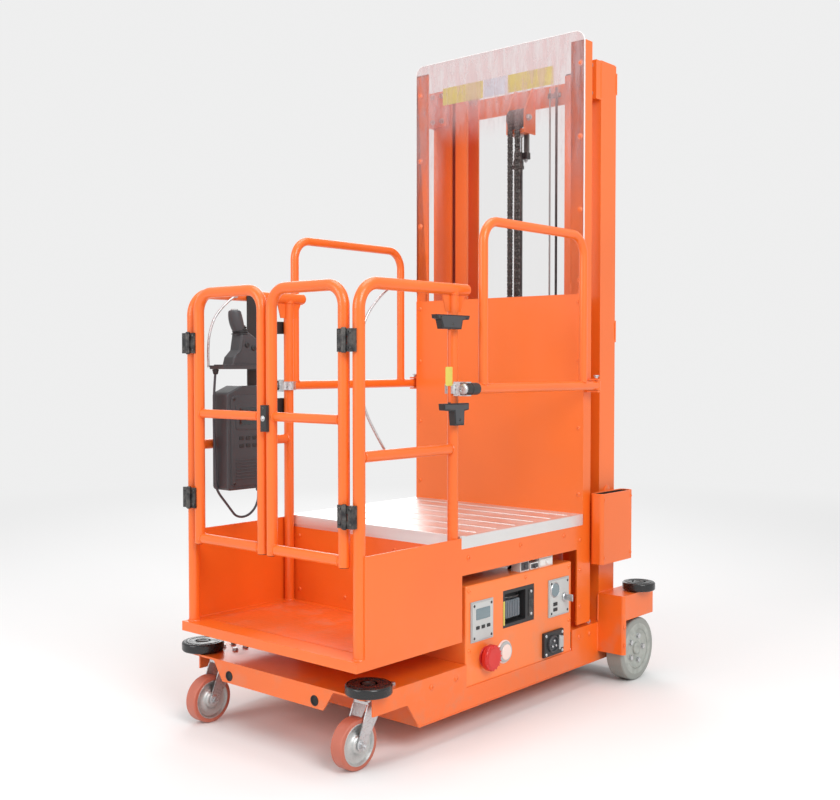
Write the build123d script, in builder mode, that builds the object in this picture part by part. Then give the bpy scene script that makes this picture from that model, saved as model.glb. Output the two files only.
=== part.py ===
from build123d import *
import math
import os

os.makedirs("parts", exist_ok=True)

# Order picker truck, millimetres. +Z is up, +X is the truck's right side, the gates face -Y.
# The mast stands at +Y.
# The origin is on the floor under the middle of the whole outline.

# Plan positions along Y
CASTER_Y = -636.0
CAGE_FRONT_Y = -746.0
GUARD_POST_Y = -712.0
LEAF_Y = -724.0
STEP_Y = -275.0
PANEL_Y = 421.0
MAST_Y = 530.0
AXLE_Y = 651.0
BASE_FRONT_Y = -716.0
BASE_REAR_Y = 720.0

# Widths and heights shared by many pieces
HALF_WIDTH = 396.0
BASE_TOP = 222.0
BASE_BOTTOM = 80.0
FLOOR_UNDER = 299.0
DECK_TOP = 630.0
DECK_EDGE = 39.0
WALL_TOP = 625.0
GUARD_TOP = 1418.0
PANEL_TOP = 1420.0
SCREEN_TOP = 2355.0
MAST_TOP = 2264.0
RUNNING_GAP = 0.05
SEAT_GAP = 0.3
FREE_GAP = 5.0

# Sheet and plate thicknesses
PLATE = 6.0
SKIN = 3.0
SCREEN_THICKNESS = 5.0
SCREEN_CORNER = 40.0

# Front casters
CASTER_SET_IN = 64.0
CASTER_X = HALF_WIDTH - CASTER_SET_IN
CASTER_TRAIL = 55.0
CASTER_R = 75.0
CASTER_WIDTH = 45.0
CASTER_TREAD = 13.0
RACE_R = 32.0
RACE_H = 22.0
MOUNT_REACH = (50.0, 43.0)
MOUNT_T = 8.0
KINGPIN_R = 8.0
FORK_T = 4.0
FORK_CROWN_T = 8.0
FORK_HALF = 29.0
AXLE_BOSS_R = 17.0
AXLE_SIDE_GAP = 4.0
CASTER_AXLE_R = 6.0

# Drive wheels and their housings
DRIVE_R = 115.0
DRIVE_WIDTH = 65.0
DRIVE_GAP = 28.0
DRIVE_INNER_X = HALF_WIDTH + DRIVE_GAP
DRIVE_BORE = 44.0
DRIVE_TREAD = 22.0
SHAFT_R = 20.0
MOTOR_R = 45.0
MOTOR_LENGTH = 200.0
HOUSING_T = 4.0
HOUSING_REACH = 109.0
HOUSING_X = HALF_WIDTH + HOUSING_REACH
HOUSING_FRONT_Y = 526.0
HOUSING_REAR_Y = 745.0
HOUSING_TOP = 330.0
HOUSING_BOTTOM = 115.0
LIP_BOTTOM = 240.0

# Corner bumper rollers
BUMPER_FRONT_R = 69.0
BUMPER_REAR_R = 60.0
BUMPER_H = 30.0
BUMPER_PIN_R = 10.0
BUMPER_HEAD_R = 20.0
BUMPER_RECESS = 8.0
BUMPER_ROUND = 7.0
RECESS_ROOM = 6.0
BUMPER_SET_IN = 19.0
BUMPER_FRONT = (HALF_WIDTH - BUMPER_SET_IN, -676.0)
BUMPER_REAR = (HOUSING_X - BUMPER_SET_IN, 664.0)

# Power unit under the load deck
COVER_SET_IN = 4.0
COVER_X = HALF_WIDTH - COVER_SET_IN
COVER_FRONT_Y = -248.0
COVER_REAR_Y = 354.0
COVER_TOP = 470.0
COVER_FOOT = 150.0
COVER_ROOM = 1.0
COVER_ROUND = 6.0

# Mast
OUTER_DEPTH = 104.0
OUTER_FLANGE = 92.0
STEEL = 8.0
INNER_DEPTH = 80.0
INNER_GAP = 12.0
INNER_X = HALF_WIDTH - OUTER_FLANGE - INNER_GAP
INNER_FLANGE = 60.0
INNER_FOOT = 236.0
INNER_TOP = 2240.0
MAST_STROKE = 1450.0
ROD_SEATED = 70.0
CYLINDER_Y = 570.0
BARREL_R = 17.0
BARREL_TOP = 1990.0
ROD_R = 11.0
ROD_FOOT = BARREL_TOP - MAST_STROKE - ROD_SEATED
HEAD_Z = 2060.0
SHEAVE_Z = 2120.0
SHEAVE_R = 37.0
SHEAVE_PIN_R = 8.0
CHAIN_T = 11.0
CHAIN_WIDTH = 22.0
CHAIN_X = 17.0
CHAIN_R = 31.0
CLEVIS_HALF = 31.0

# Carriage that carries the platform
UPRIGHT_DEPTH = 46.0
UPRIGHT_FLANGE = 60.0
CARRIAGE_FOOT = 235.0
CARRIAGE_TOP = 2320.0
ARM_GAP = 32.0
ARM_X = INNER_X - INNER_FLANGE - ARM_GAP
ARM_T = 10.0
ROLLER_HIGH_Z = 640.0
ROLLER_LOW_Z = 340.0
ANCHOR_Z = 600.0
ANCHOR_H = 25.0

# Guards, gates and side rails
GUARD_R = 18.0
GUARD_BEND = 75.0
GUARD_REAR_Y = STEP_Y - GUARD_R
GUARD_STUB_Y = -225.0
GUARD_MID_Z = 905.0
LEAF_R = 17.0
LEAF_BEND = 62.0
LEAF_TOP = 1412.0
LEAF_FOOT = 590.0
LEAF_MID_Z = 1010.0
LEAF_MID_R = 14.0
LEAF_CENTRE_GAP = 8.0
HINGE_SET_IN = 44.0
HINGE_X = HALF_WIDTH - HINGE_SET_IN
HINGE_HEIGHTS = (738.0, 1236.0)
HINGE_H = 66.0
RAIL_OFFSET = 34.0
RAIL_X = HALF_WIDTH + RAIL_OFFSET
RAIL_R = 16.0
RAIL_Z = 1092.0
RAIL_TOP = 1633.0
RAIL_BEND = 70.0
RAIL_FRONT_Y = GUARD_REAR_Y - 18.0
RAIL_LEGS_Y = (-211.0, 364.0)
RAIL_PIVOT_Y = 452.0
PIVOT_R = 6.0

SIDES = (("left", -1), ("right", 1))


def keep(piece, name):
    """Label a finished piece and write it as one STEP file."""
    piece.part.label = name
    export_step(piece.part, f"parts/{name}.step")


def slab(x0, x1, y0, y1, z0, z1, mode=Mode.ADD):
    """A straight block between two corners, in the open part."""
    with Locations(((x0 + x1) / 2, (y0 + y1) / 2, (z0 + z1) / 2)):
        Box(abs(x1 - x0), abs(y1 - y0), abs(z1 - z0), mode=mode)


def post(x, y, z0, z1, radius, mode=Mode.ADD):
    """A round upright bar or hole between two heights, in the open part."""
    with Locations((x, y, (z0 + z1) / 2)):
        Cylinder(radius, abs(z1 - z0), mode=mode)


def shaft(x0, x1, y, z, radius, mode=Mode.ADD):
    """A round bar or hole along X, in the open part."""
    with Locations(Location(((x0 + x1) / 2, y, z), (0, 90, 0))):
        Cylinder(radius, abs(x1 - x0), mode=mode)


def bar(points, radius, bend=0.0):
    """A round tube swept along a route with rounded corners, in the open part."""
    with BuildLine() as route:
        if bend:
            FilletPolyline(*points, radius=bend)
        else:
            Polyline(*points)
    with BuildSketch(Plane(origin=route.line @ 0, z_dir=route.line % 0)) as section:
        Circle(radius)
    sweep(sections=section.sketch, path=route.line)


def side_plate(x0, x1, outline):
    """A plate whose outline is given in Y and Z, between two X positions, in the open part."""
    with BuildSketch(Plane.YZ.offset(min(x0, x1))) as profile:
        with BuildLine():
            Polyline(*outline, close=True)
        make_face()
    extrude(profile.sketch, amount=abs(x1 - x0))


def bumper_pin(x, y, seat):
    """The pin and cap that a corner roller turns on, in the open part."""
    roller_floor = seat + SKIN
    recess_floor = roller_floor + BUMPER_H - BUMPER_RECESS
    post(x, y, seat, recess_floor + SEAT_GAP, BUMPER_PIN_R)
    post(x, y, recess_floor + SEAT_GAP, roller_floor + BUMPER_H - 1.0, BUMPER_HEAD_R)


# Base frame: top plate, skirts, pan, caster seats and front roller pins
CASTER_NOTCH = ((-530.0, 160.0), (-476.0, BASE_BOTTOM))
CORNER_R = 38.0
PAN_T = 4.0
TIE_HOLES_X, TIE_HOLE_Z, TIE_HOLE_R = 195.0, 178.0, 13.0
plate_top = BASE_TOP - PLATE
plate_half = CASTER_X - MOUNT_REACH[0] - 10.0
plate_foot = plate_half - 42.0
CROSS_PLATE = ((-plate_half, plate_top), (-plate_foot, 155.0), (plate_foot, 155.0), (plate_half, plate_top))
WINDOW_Y = (COVER_FRONT_Y - COVER_ROOM, COVER_REAR_Y + COVER_ROOM)
with BuildPart() as base_frame:
    with BuildSketch(Plane.XY.offset(BASE_TOP - PLATE)) as top_plate:
        with Locations((0, (BASE_FRONT_Y + BASE_REAR_Y) / 2)):
            Rectangle(2 * HALF_WIDTH, BASE_REAR_Y - BASE_FRONT_Y)
        with Locations((-BUMPER_FRONT[0], BUMPER_FRONT[1]), BUMPER_FRONT):
            Circle(CORNER_R)
        with Locations((0, sum(WINDOW_Y) / 2)):
            Rectangle(2 * HALF_WIDTH, WINDOW_Y[1] - WINDOW_Y[0], mode=Mode.SUBTRACT)
    extrude(amount=PLATE)
    for side_name, side in SIDES:
        skirt = [(BASE_FRONT_Y + CORNER_R, plate_top), (BASE_FRONT_Y + CORNER_R, CASTER_NOTCH[0][1])]
        skirt += [*CASTER_NOTCH, (BASE_REAR_Y, BASE_BOTTOM), (BASE_REAR_Y, plate_top)]
        skirt += [(WINDOW_Y[1], plate_top), (WINDOW_Y[1], COVER_FOOT)]
        skirt += [(WINDOW_Y[0], COVER_FOOT), (WINDOW_Y[0], plate_top)]
        side_plate(side * (HALF_WIDTH - PLATE), side * HALF_WIDTH, skirt)
        slab(side * (CASTER_X - MOUNT_REACH[0]), side * (CASTER_X + MOUNT_REACH[0]),
             CASTER_Y - MOUNT_REACH[1], CASTER_Y + MOUNT_REACH[1], plate_top - MOUNT_T, plate_top)
        post(side * CASTER_X, CASTER_Y, plate_top - RACE_H, plate_top, RACE_R)
        post(side * CASTER_X, CASTER_Y, plate_top - RACE_H, plate_top, KINGPIN_R + RUNNING_GAP, Mode.SUBTRACT)
        shaft(side * (HALF_WIDTH - PLATE), side * HALF_WIDTH, AXLE_Y, DRIVE_R, SHAFT_R + FREE_GAP,
              Mode.SUBTRACT)
        bumper_pin(side * BUMPER_FRONT[0], BUMPER_FRONT[1], BASE_TOP)
    with BuildSketch(Plane.XZ.offset(-BASE_FRONT_Y - PLATE)) as cross_plate:
        with BuildLine():
            Polyline(*CROSS_PLATE, close=True)
        make_face()
        with Locations((-TIE_HOLES_X, TIE_HOLE_Z), (TIE_HOLES_X, TIE_HOLE_Z)):
            Circle(TIE_HOLE_R, mode=Mode.SUBTRACT)
    extrude(amount=PLATE)
    inner = HALF_WIDTH - PLATE
    slab(-inner, inner, CASTER_NOTCH[1][0], HOUSING_FRONT_Y, BASE_BOTTOM, BASE_BOTTOM + PAN_T)
    slab(-inner, inner, CASTER_NOTCH[1][0], CASTER_NOTCH[1][0] + PLATE, BASE_BOTTOM, plate_top)
    slab(-inner, inner, BASE_REAR_Y - PLATE, BASE_REAR_Y, BASE_BOTTOM, plate_top)
keep(base_frame, "base_frame")

# Power unit cover: a shell over the battery and pump that stands on the skirts, with a recess on the right
SOCKET = (-53.0, 124.0, 301.0, 425.0)
SOCKET_DEPTH = 40.0
SOCKET_WALL = 12.0
SOCKET_SHELF = 50.0
CHARGE_PORT = (172.0, 290.0, 159.0, 243.0)
CHARGE_T = 12.0
ITEM_GAP = 0.5
with BuildPart() as base_cover:
    slab(-COVER_X, COVER_X, COVER_FRONT_Y, COVER_REAR_Y, COVER_FOOT, COVER_TOP)
    fillet(base_cover.edges().filter_by(Axis.Z), COVER_ROUND)
    fillet(base_cover.faces().sort_by(Axis.Z)[-1].edges(), COVER_ROUND)
    offset(amount=-SKIN, openings=base_cover.faces().sort_by(Axis.Z)[0])
    slab(COVER_X - 2 * SKIN, COVER_X + 1, *SOCKET, Mode.SUBTRACT)
keep(base_cover, "base_cover")

SOCKET_BOX = (SOCKET[0] + ITEM_GAP, SOCKET[1] - ITEM_GAP, SOCKET[2] + ITEM_GAP, SOCKET[3] - ITEM_GAP)
SOCKET_ROOM = (SOCKET[0] + SOCKET_WALL, SOCKET[1] - SOCKET_SHELF,
               SOCKET[2] + SOCKET_WALL, SOCKET[3] - SOCKET_WALL)
with BuildPart() as power_sockets:
    slab(COVER_X - SOCKET_DEPTH, COVER_X - ITEM_GAP, *SOCKET_BOX)
    slab(COVER_X - SOCKET_DEPTH + 10, COVER_X, *SOCKET_ROOM, Mode.SUBTRACT)
    slab(COVER_X, COVER_X + CHARGE_T, *CHARGE_PORT)
    fillet(power_sockets.faces().sort_by(Axis.X)[-1].edges(), 4)
keep(power_sockets, "power_sockets")

# Items on the cover's right face: y0, y1, z0, z1 of each plate
GAUGE_PLATES = ((-226.0, -111.0, 286.0, 415.0), (207.0, 332.0, 291.0, 421.0))
GAUGE_T = 4.0
with BuildPart() as gauge_plates:
    for y0, y1, z0, z1 in GAUGE_PLATES:
        slab(COVER_X, COVER_X + GAUGE_T, y0, y1, z0, z1)
keep(gauge_plates, "gauge_plates")

STOP_Y, STOP_Z, STOP_R = -145.0, 228.0, 42.0
STOP_NECK_R, STOP_NECK, STOP_REACH = 26.0, 16.0, 34.0
with BuildPart() as stop_button:
    shaft(COVER_X, COVER_X + STOP_NECK, STOP_Y, STOP_Z, STOP_NECK_R)
    shaft(COVER_X + STOP_NECK, COVER_X + STOP_REACH, STOP_Y, STOP_Z, STOP_R)
    fillet(stop_button.edges().filter_by(GeomType.CIRCLE).sort_by(Axis.X)[-1], 8)
keep(stop_button, "stop_button")

BUTTON_Y, BUTTON_Z, BUTTON_R, BUTTON_T = -48.0, 225.0, 34.0, 10.0
with BuildPart() as lowering_button:
    shaft(COVER_X, COVER_X + BUTTON_T, BUTTON_Y, BUTTON_Z, BUTTON_R)
    fillet(lowering_button.edges().filter_by(GeomType.CIRCLE).sort_by(Axis.X)[-1], 3)
keep(lowering_button, "lowering_button")

# Plug blocks on the cover's top, seen through the slot under the deck: y0, y1 and height
PLUGS = ((61.0, 110.0, 34.0), (119.0, 166.0, 22.0), (172.0, 252.0, 32.0))
PLUG_INSET, PLUG_DEPTH = 12.0, 38.0
with BuildPart() as slot_plugs:
    for y0, y1, height in PLUGS:
        slab(COVER_X - PLUG_INSET - PLUG_DEPTH, COVER_X - PLUG_INSET, y0, y1, COVER_TOP, COVER_TOP + height)
keep(slot_plugs, "slot_plugs")

# Battery and pump unit: plain blocks on the pan
PACK_ROOM = 30.0
BATTERY_HALF, BATTERY_REAR_Y, BATTERY_TOP = 300.0, 40.0, 330.0
PUMP_HALF, PUMP_TOP = 240.0, 360.0
with BuildPart() as battery_block:
    slab(-BATTERY_HALF, BATTERY_HALF, COVER_FRONT_Y + PACK_ROOM, BATTERY_REAR_Y,
         BASE_BOTTOM + PAN_T, BATTERY_TOP)
keep(battery_block, "battery_block")

with BuildPart() as pump_block:
    slab(-PUMP_HALF, PUMP_HALF, BATTERY_REAR_Y + PACK_ROOM, COVER_REAR_Y - PACK_ROOM,
         BASE_BOTTOM + PAN_T, PUMP_TOP)
keep(pump_block, "pump_block")

# Drive motors with their shafts, inside the base frame
with BuildPart() as drive_motors:
    for side_name, side in SIDES:
        motor_face = HALF_WIDTH - PLATE
        shaft(side * (motor_face - MOTOR_LENGTH), side * motor_face, AXLE_Y, DRIVE_R, MOTOR_R)
        shaft(side * motor_face, side * (DRIVE_INNER_X + DRIVE_BORE - 2), AXLE_Y, DRIVE_R, SHAFT_R)
keep(drive_motors, "drive_motors")

# Drive wheels: a plain disc hub with a blind bore, and the tyre round it
DRIVE_OUTER_X = DRIVE_INNER_X + DRIVE_WIDTH
DISH_R, DISH_DEPTH = 74.0, 8.0
for side_name, side in SIDES:
    with BuildPart() as hub:
        shaft(side * DRIVE_INNER_X, side * DRIVE_OUTER_X, AXLE_Y, DRIVE_R, DRIVE_R - DRIVE_TREAD)
        shaft(side * DRIVE_INNER_X, side * (DRIVE_INNER_X + DRIVE_BORE), AXLE_Y, DRIVE_R,
              SHAFT_R + RUNNING_GAP, Mode.SUBTRACT)
        shaft(side * (DRIVE_OUTER_X - DISH_DEPTH), side * (DRIVE_OUTER_X + 1), AXLE_Y, DRIVE_R, DISH_R,
              Mode.SUBTRACT)
    keep(hub, f"drive_hub_{side_name}")

    with BuildPart() as tyre:
        shaft(side * DRIVE_INNER_X, side * DRIVE_OUTER_X, AXLE_Y, DRIVE_R, DRIVE_R)
        fillet(tyre.edges().filter_by(GeomType.CIRCLE), 6)
        shaft(side * DRIVE_INNER_X, side * DRIVE_OUTER_X, AXLE_Y, DRIVE_R, DRIVE_R - DRIVE_TREAD,
              Mode.SUBTRACT)
    keep(tyre, f"drive_tyre_{side_name}")

# Wheel housings: boxes with rounded outer corners, open over the wheel's outer face
with BuildPart() as wheel_housings:
    for side_name, side in SIDES:
        centre = (side * (HALF_WIDTH + HOUSING_X) / 2, (HOUSING_FRONT_Y + HOUSING_REAR_Y) / 2)
        with BuildSketch(Plane.XY.offset(HOUSING_BOTTOM)) as footprint:
            with Locations(centre):
                Rectangle(HOUSING_X - HALF_WIDTH, HOUSING_REAR_Y - HOUSING_FRONT_Y)
            corners = footprint.vertices().group_by(Axis.X)[-1 if side > 0 else 0]
            fillet(corners, 12)
        extrude(amount=HOUSING_TOP - HOUSING_BOTTOM)
    for side_name, side in SIDES:
        inside = side * (HALF_WIDTH + HOUSING_T)
        slab(inside, side * (HOUSING_X - HOUSING_T), HOUSING_FRONT_Y + HOUSING_T, HOUSING_REAR_Y - HOUSING_T,
             HOUSING_BOTTOM - 1, HOUSING_TOP - HOUSING_T, Mode.SUBTRACT)
        slab(inside, side * (HOUSING_X + 1), HOUSING_FRONT_Y + 16, HOUSING_REAR_Y + 1,
             HOUSING_BOTTOM - 1, LIP_BOTTOM, Mode.SUBTRACT)
        slab(side * (HALF_WIDTH - 1), inside, HOUSING_FRONT_Y + HOUSING_T, HOUSING_REAR_Y + 1,
             HOUSING_BOTTOM - 1, BASE_TOP, Mode.SUBTRACT)
        bumper_pin(side * BUMPER_REAR[0], BUMPER_REAR[1], HOUSING_TOP)
keep(wheel_housings, "wheel_housings")

# Corner rollers: name, x, y, seat height and radius
BUMPERS = []
for side_name, side in SIDES:
    BUMPERS.append((f"front_{side_name}", side * BUMPER_FRONT[0], BUMPER_FRONT[1], BASE_TOP, BUMPER_FRONT_R))
    BUMPERS.append((f"rear_{side_name}", side * BUMPER_REAR[0], BUMPER_REAR[1], HOUSING_TOP, BUMPER_REAR_R))
for place, x, y, seat, radius in BUMPERS:
    low = seat + SKIN
    with BuildPart() as roller:
        post(x, y, low, low + BUMPER_H, radius)
        fillet(roller.edges().filter_by(GeomType.CIRCLE), BUMPER_ROUND)
        post(x, y, low, low + BUMPER_H, BUMPER_PIN_R + RUNNING_GAP, Mode.SUBTRACT)
        post(x, y, low + BUMPER_H - BUMPER_RECESS, low + BUMPER_H, BUMPER_HEAD_R + RECESS_ROOM, Mode.SUBTRACT)
    keep(roller, f"bumper_{place}")

# Casters: the fork trails the kingpin, the wheel turns on the fork's axle
FORK_TOP = BASE_TOP - PLATE - RACE_H - SEAT_GAP
FORK_INSIDE = CASTER_WIDTH / 2 + AXLE_SIDE_GAP
FORK_OUTSIDE = FORK_INSIDE + FORK_T
WHEEL_Y = CASTER_Y - CASTER_TRAIL
for side_name, side in SIDES:
    x = side * CASTER_X
    with BuildPart() as fork:
        slab(x - FORK_OUTSIDE, x + FORK_OUTSIDE, CASTER_Y - FORK_HALF, CASTER_Y + FORK_HALF,
             FORK_TOP - FORK_CROWN_T, FORK_TOP)
        fillet(fork.edges().filter_by(Axis.Z), 8)
        post(x, CASTER_Y, FORK_TOP, BASE_TOP - PLATE - MOUNT_T / 2, KINGPIN_R)
        for low_x in (x - FORK_OUTSIDE, x + FORK_INSIDE):
            leg = [(CASTER_Y + FORK_HALF - 8, FORK_TOP - 1), (CASTER_Y - FORK_HALF + 8, FORK_TOP - 1),
                   (CASTER_Y - FORK_HALF, FORK_TOP - 14), (WHEEL_Y - AXLE_BOSS_R, CASTER_R),
                   (WHEEL_Y + AXLE_BOSS_R, CASTER_R - 3), (CASTER_Y + FORK_HALF - 4, FORK_TOP - 36)]
            side_plate(low_x, low_x + FORK_T, leg)
            shaft(low_x, low_x + FORK_T, WHEEL_Y, CASTER_R, AXLE_BOSS_R)
        shaft(x - FORK_OUTSIDE - 4, x + FORK_OUTSIDE + 4, WHEEL_Y, CASTER_R, CASTER_AXLE_R)
    keep(fork, f"caster_fork_{side_name}")

    with BuildPart() as caster_hub:
        shaft(x - CASTER_WIDTH / 2, x + CASTER_WIDTH / 2, WHEEL_Y, CASTER_R, CASTER_R - CASTER_TREAD)
        shaft(x - FORK_INSIDE + ITEM_GAP, x + FORK_INSIDE - ITEM_GAP, WHEEL_Y, CASTER_R, AXLE_BOSS_R - 1)
        shaft(x - FORK_OUTSIDE, x + FORK_OUTSIDE, WHEEL_Y, CASTER_R, CASTER_AXLE_R + RUNNING_GAP,
              Mode.SUBTRACT)
    keep(caster_hub, f"caster_hub_{side_name}")

    with BuildPart() as caster_tyre:
        shaft(x - CASTER_WIDTH / 2, x + CASTER_WIDTH / 2, WHEEL_Y, CASTER_R, CASTER_R)
        fillet(caster_tyre.edges().filter_by(GeomType.CIRCLE), 5)
        shaft(x - CASTER_WIDTH, x + CASTER_WIDTH, WHEEL_Y, CASTER_R, CASTER_R - CASTER_TREAD, Mode.SUBTRACT)
    keep(caster_tyre, f"caster_tyre_{side_name}")


def channel(web_x, flange, front_y, depth, z0, z1):
    """A C section that opens towards the middle, given its outer web face, in the open part."""
    sign = 1 if web_x > 0 else -1
    tip = web_x - sign * flange
    skin = web_x - sign * STEEL
    outline = [(web_x, front_y), (tip, front_y), (tip, front_y + STEEL), (skin, front_y + STEEL),
               (skin, front_y + depth - STEEL), (tip, front_y + depth - STEEL), (tip, front_y + depth),
               (web_x, front_y + depth)]
    with BuildSketch(Plane.XY.offset(z0)) as section:
        with BuildLine():
            Polyline(*outline, close=True)
        make_face()
    extrude(section.sketch, amount=z1 - z0)


# Fixed mast on the base, tied by flat bars across its back, with a bracket in front of each channel's head
OUTER_BACK = MAST_Y + OUTER_DEPTH
OUTER_TIES = ((BASE_TOP, 330.0), (1250.0, 1330.0), (2162.0, 2240.0))
BRACKET_Y, BRACKET_FOOT = 497.0, 2125.0
with BuildPart() as outer_mast:
    for side_name, side in SIDES:
        channel(side * HALF_WIDTH, OUTER_FLANGE, MAST_Y, OUTER_DEPTH, BASE_TOP, MAST_TOP)
        slab(side * (HALF_WIDTH - STEEL), side * HALF_WIDTH, BRACKET_Y, MAST_Y, BRACKET_FOOT, MAST_TOP)
        slab(side * (HALF_WIDTH - OUTER_FLANGE), side * HALF_WIDTH, BRACKET_Y, BRACKET_Y + PLATE,
             BRACKET_FOOT, MAST_TOP)
    for z0, z1 in OUTER_TIES:
        slab(-HALF_WIDTH, HALF_WIDTH, OUTER_BACK, OUTER_BACK + STEEL, z0, z1)
keep(outer_mast, "outer_mast")

# Lift cylinder in the middle of the mast, with the rear anchor of the chains at its head
BARREL_FOOT_R, BARREL_FOOT_H = 44.0, 12.0
ANCHOR_HEAD_H = 25.0
ROD_WELL = 10.0
with BuildPart() as lift_cylinder:
    post(0, CYLINDER_Y, BASE_TOP, BASE_TOP + BARREL_FOOT_H, BARREL_FOOT_R)
    post(0, CYLINDER_Y, BASE_TOP, BARREL_TOP, BARREL_R)
    slab(-CLEVIS_HALF, CLEVIS_HALF, CYLINDER_Y + ROD_R + 2, CYLINDER_Y + CHAIN_R + CHAIN_T / 2,
         BARREL_TOP - ANCHOR_HEAD_H, BARREL_TOP)
    post(0, CYLINDER_Y, ROD_FOOT - ROD_WELL, BARREL_TOP + 1, ROD_R + SEAT_GAP, Mode.SUBTRACT)
keep(lift_cylinder, "lift_cylinder")

# Moving mast inside the fixed one, with the yoke of the chain sheaves at its top
INNER_Y = MAST_Y + (OUTER_DEPTH - INNER_DEPTH) / 2
INNER_BACK = INNER_Y + INNER_DEPTH
INNER_TIES = ((250.0, 320.0), (1180.0, 1240.0), (2158.0, 2236.0))
YOKE_X, YOKE_T, YOKE_HALF = 38.0, 6.0, 20.0
HEAD_T = 16.0
with BuildPart() as inner_mast:
    for side_name, side in SIDES:
        channel(side * INNER_X, INNER_FLANGE, INNER_Y, INNER_DEPTH, INNER_FOOT, INNER_TOP)
        yoke = [(CYLINDER_Y - YOKE_HALF, HEAD_Z), (INNER_BACK, HEAD_Z), (INNER_BACK, INNER_TIES[2][1]),
                (INNER_BACK - YOKE_HALF, INNER_TIES[2][1]), (CYLINDER_Y - YOKE_HALF, SHEAVE_Z + 24)]
        side_plate(side * YOKE_X, side * (YOKE_X + YOKE_T), yoke)
    for z0, z1 in INNER_TIES:
        slab(-INNER_X, INNER_X, INNER_BACK - 2, INNER_BACK + PLATE, z0, z1)
    slab(-YOKE_X, YOKE_X, CYLINDER_Y - YOKE_HALF, CYLINDER_Y + YOKE_HALF, HEAD_Z, HEAD_Z + HEAD_T)
    shaft(-YOKE_X, YOKE_X, CYLINDER_Y, SHEAVE_Z, SHEAVE_PIN_R)
keep(inner_mast, "inner_mast")

MAST_ROLLER_HEIGHTS = (300.0, 700.0)
ROLLER_PIN_R = 12.0
END_GAP = 10.0
with BuildPart() as mast_rollers:
    for side_name, side in SIDES:
        for z in MAST_ROLLER_HEIGHTS:
            pin_end = HALF_WIDTH - STEEL - END_GAP
            shaft(side * INNER_X, side * pin_end, MAST_Y + OUTER_DEPTH / 2, z, ROLLER_PIN_R)
            shaft(side * (INNER_X + 18), side * (pin_end - 2), MAST_Y + OUTER_DEPTH / 2, z,
                  OUTER_DEPTH / 2 - STEEL - 1.5)
keep(mast_rollers, "mast_rollers")

with BuildPart() as lift_rod:
    post(0, CYLINDER_Y, ROD_FOOT, HEAD_Z, ROD_R)
keep(lift_rod, "lift_rod")

SHEAVE_HALF = 15.0
with BuildPart() as chain_sheaves:
    for strand in (-CHAIN_X, CHAIN_X):
        shaft(strand - SHEAVE_HALF, strand + SHEAVE_HALF, CYLINDER_Y, SHEAVE_Z, SHEAVE_R)
        with BuildSketch(Plane.YZ.offset(strand - CHAIN_WIDTH / 2 - 0.5)) as groove:
            with Locations((CYLINDER_Y, SHEAVE_Z)):
                Circle(SHEAVE_R + 1)
                Circle(CHAIN_R - CHAIN_T / 2 - SEAT_GAP, mode=Mode.SUBTRACT)
        extrude(groove.sketch, amount=CHAIN_WIDTH + 1, mode=Mode.SUBTRACT)
    shaft(-YOKE_X, YOKE_X, CYLINDER_Y, SHEAVE_Z, SHEAVE_PIN_R + RUNNING_GAP, Mode.SUBTRACT)
keep(chain_sheaves, "chain_sheaves")

# Lift chains: a front run down to the carriage, the turn over the sheave, a rear run down to the barrel
with BuildPart() as chain_front_run:
    for strand in (-CHAIN_X, CHAIN_X):
        slab(strand - CHAIN_WIDTH / 2, strand + CHAIN_WIDTH / 2, CYLINDER_Y - CHAIN_R - CHAIN_T / 2,
             CYLINDER_Y - CHAIN_R + CHAIN_T / 2, ANCHOR_Z + ANCHOR_H + SEAT_GAP, SHEAVE_Z)
keep(chain_front_run, "chain_front_run")

with BuildPart() as chain_turn:
    for strand in (-CHAIN_X, CHAIN_X):
        with BuildSketch(Plane.YZ.offset(strand - CHAIN_WIDTH / 2)) as turn:
            with Locations((CYLINDER_Y, SHEAVE_Z)):
                Circle(CHAIN_R + CHAIN_T / 2)
                Circle(CHAIN_R - CHAIN_T / 2, mode=Mode.SUBTRACT)
            with Locations((CYLINDER_Y, SHEAVE_Z - CHAIN_R)):
                Rectangle(4 * CHAIN_R, 2 * CHAIN_R, mode=Mode.SUBTRACT)
        extrude(turn.sketch, amount=CHAIN_WIDTH)
keep(chain_turn, "chain_turn")

with BuildPart() as chain_rear_run:
    for strand in (-CHAIN_X, CHAIN_X):
        slab(strand - CHAIN_WIDTH / 2, strand + CHAIN_WIDTH / 2, CYLINDER_Y + CHAIN_R - CHAIN_T / 2,
             CYLINDER_Y + CHAIN_R + CHAIN_T / 2, BARREL_TOP + SEAT_GAP, SHEAVE_Z)
keep(chain_rear_run, "chain_rear_run")

# Document box on the fixed mast's right side
DOC_GAP, DOC_DEPTH, DOC_T = 6.0, 52.0, 2.5
DOC_X = (HALF_WIDTH + DOC_GAP, HALF_WIDTH + DOC_GAP + DOC_DEPTH)
DOC_Y, DOC_Z = (459.0, 674.0), (447.0, 700.0)
DOC_STRAPS = (500.0, 640.0)
DOC_STRAP_H = 20.0
with BuildPart() as document_box:
    with BuildSketch(Plane.XY.offset(DOC_Z[0])):
        with Locations((sum(DOC_X) / 2, sum(DOC_Y) / 2)):
            RectangleRounded(DOC_X[1] - DOC_X[0], DOC_Y[1] - DOC_Y[0], 14)
    extrude(amount=DOC_Z[1] - DOC_Z[0])
    offset(amount=-DOC_T, openings=document_box.faces().sort_by(Axis.Z)[-1])
    for z in DOC_STRAPS:
        slab(HALF_WIDTH, DOC_X[0] + 1, MAST_Y + 10, MAST_Y + 60, z, z + DOC_STRAP_H)
keep(document_box, "document_box")

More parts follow.
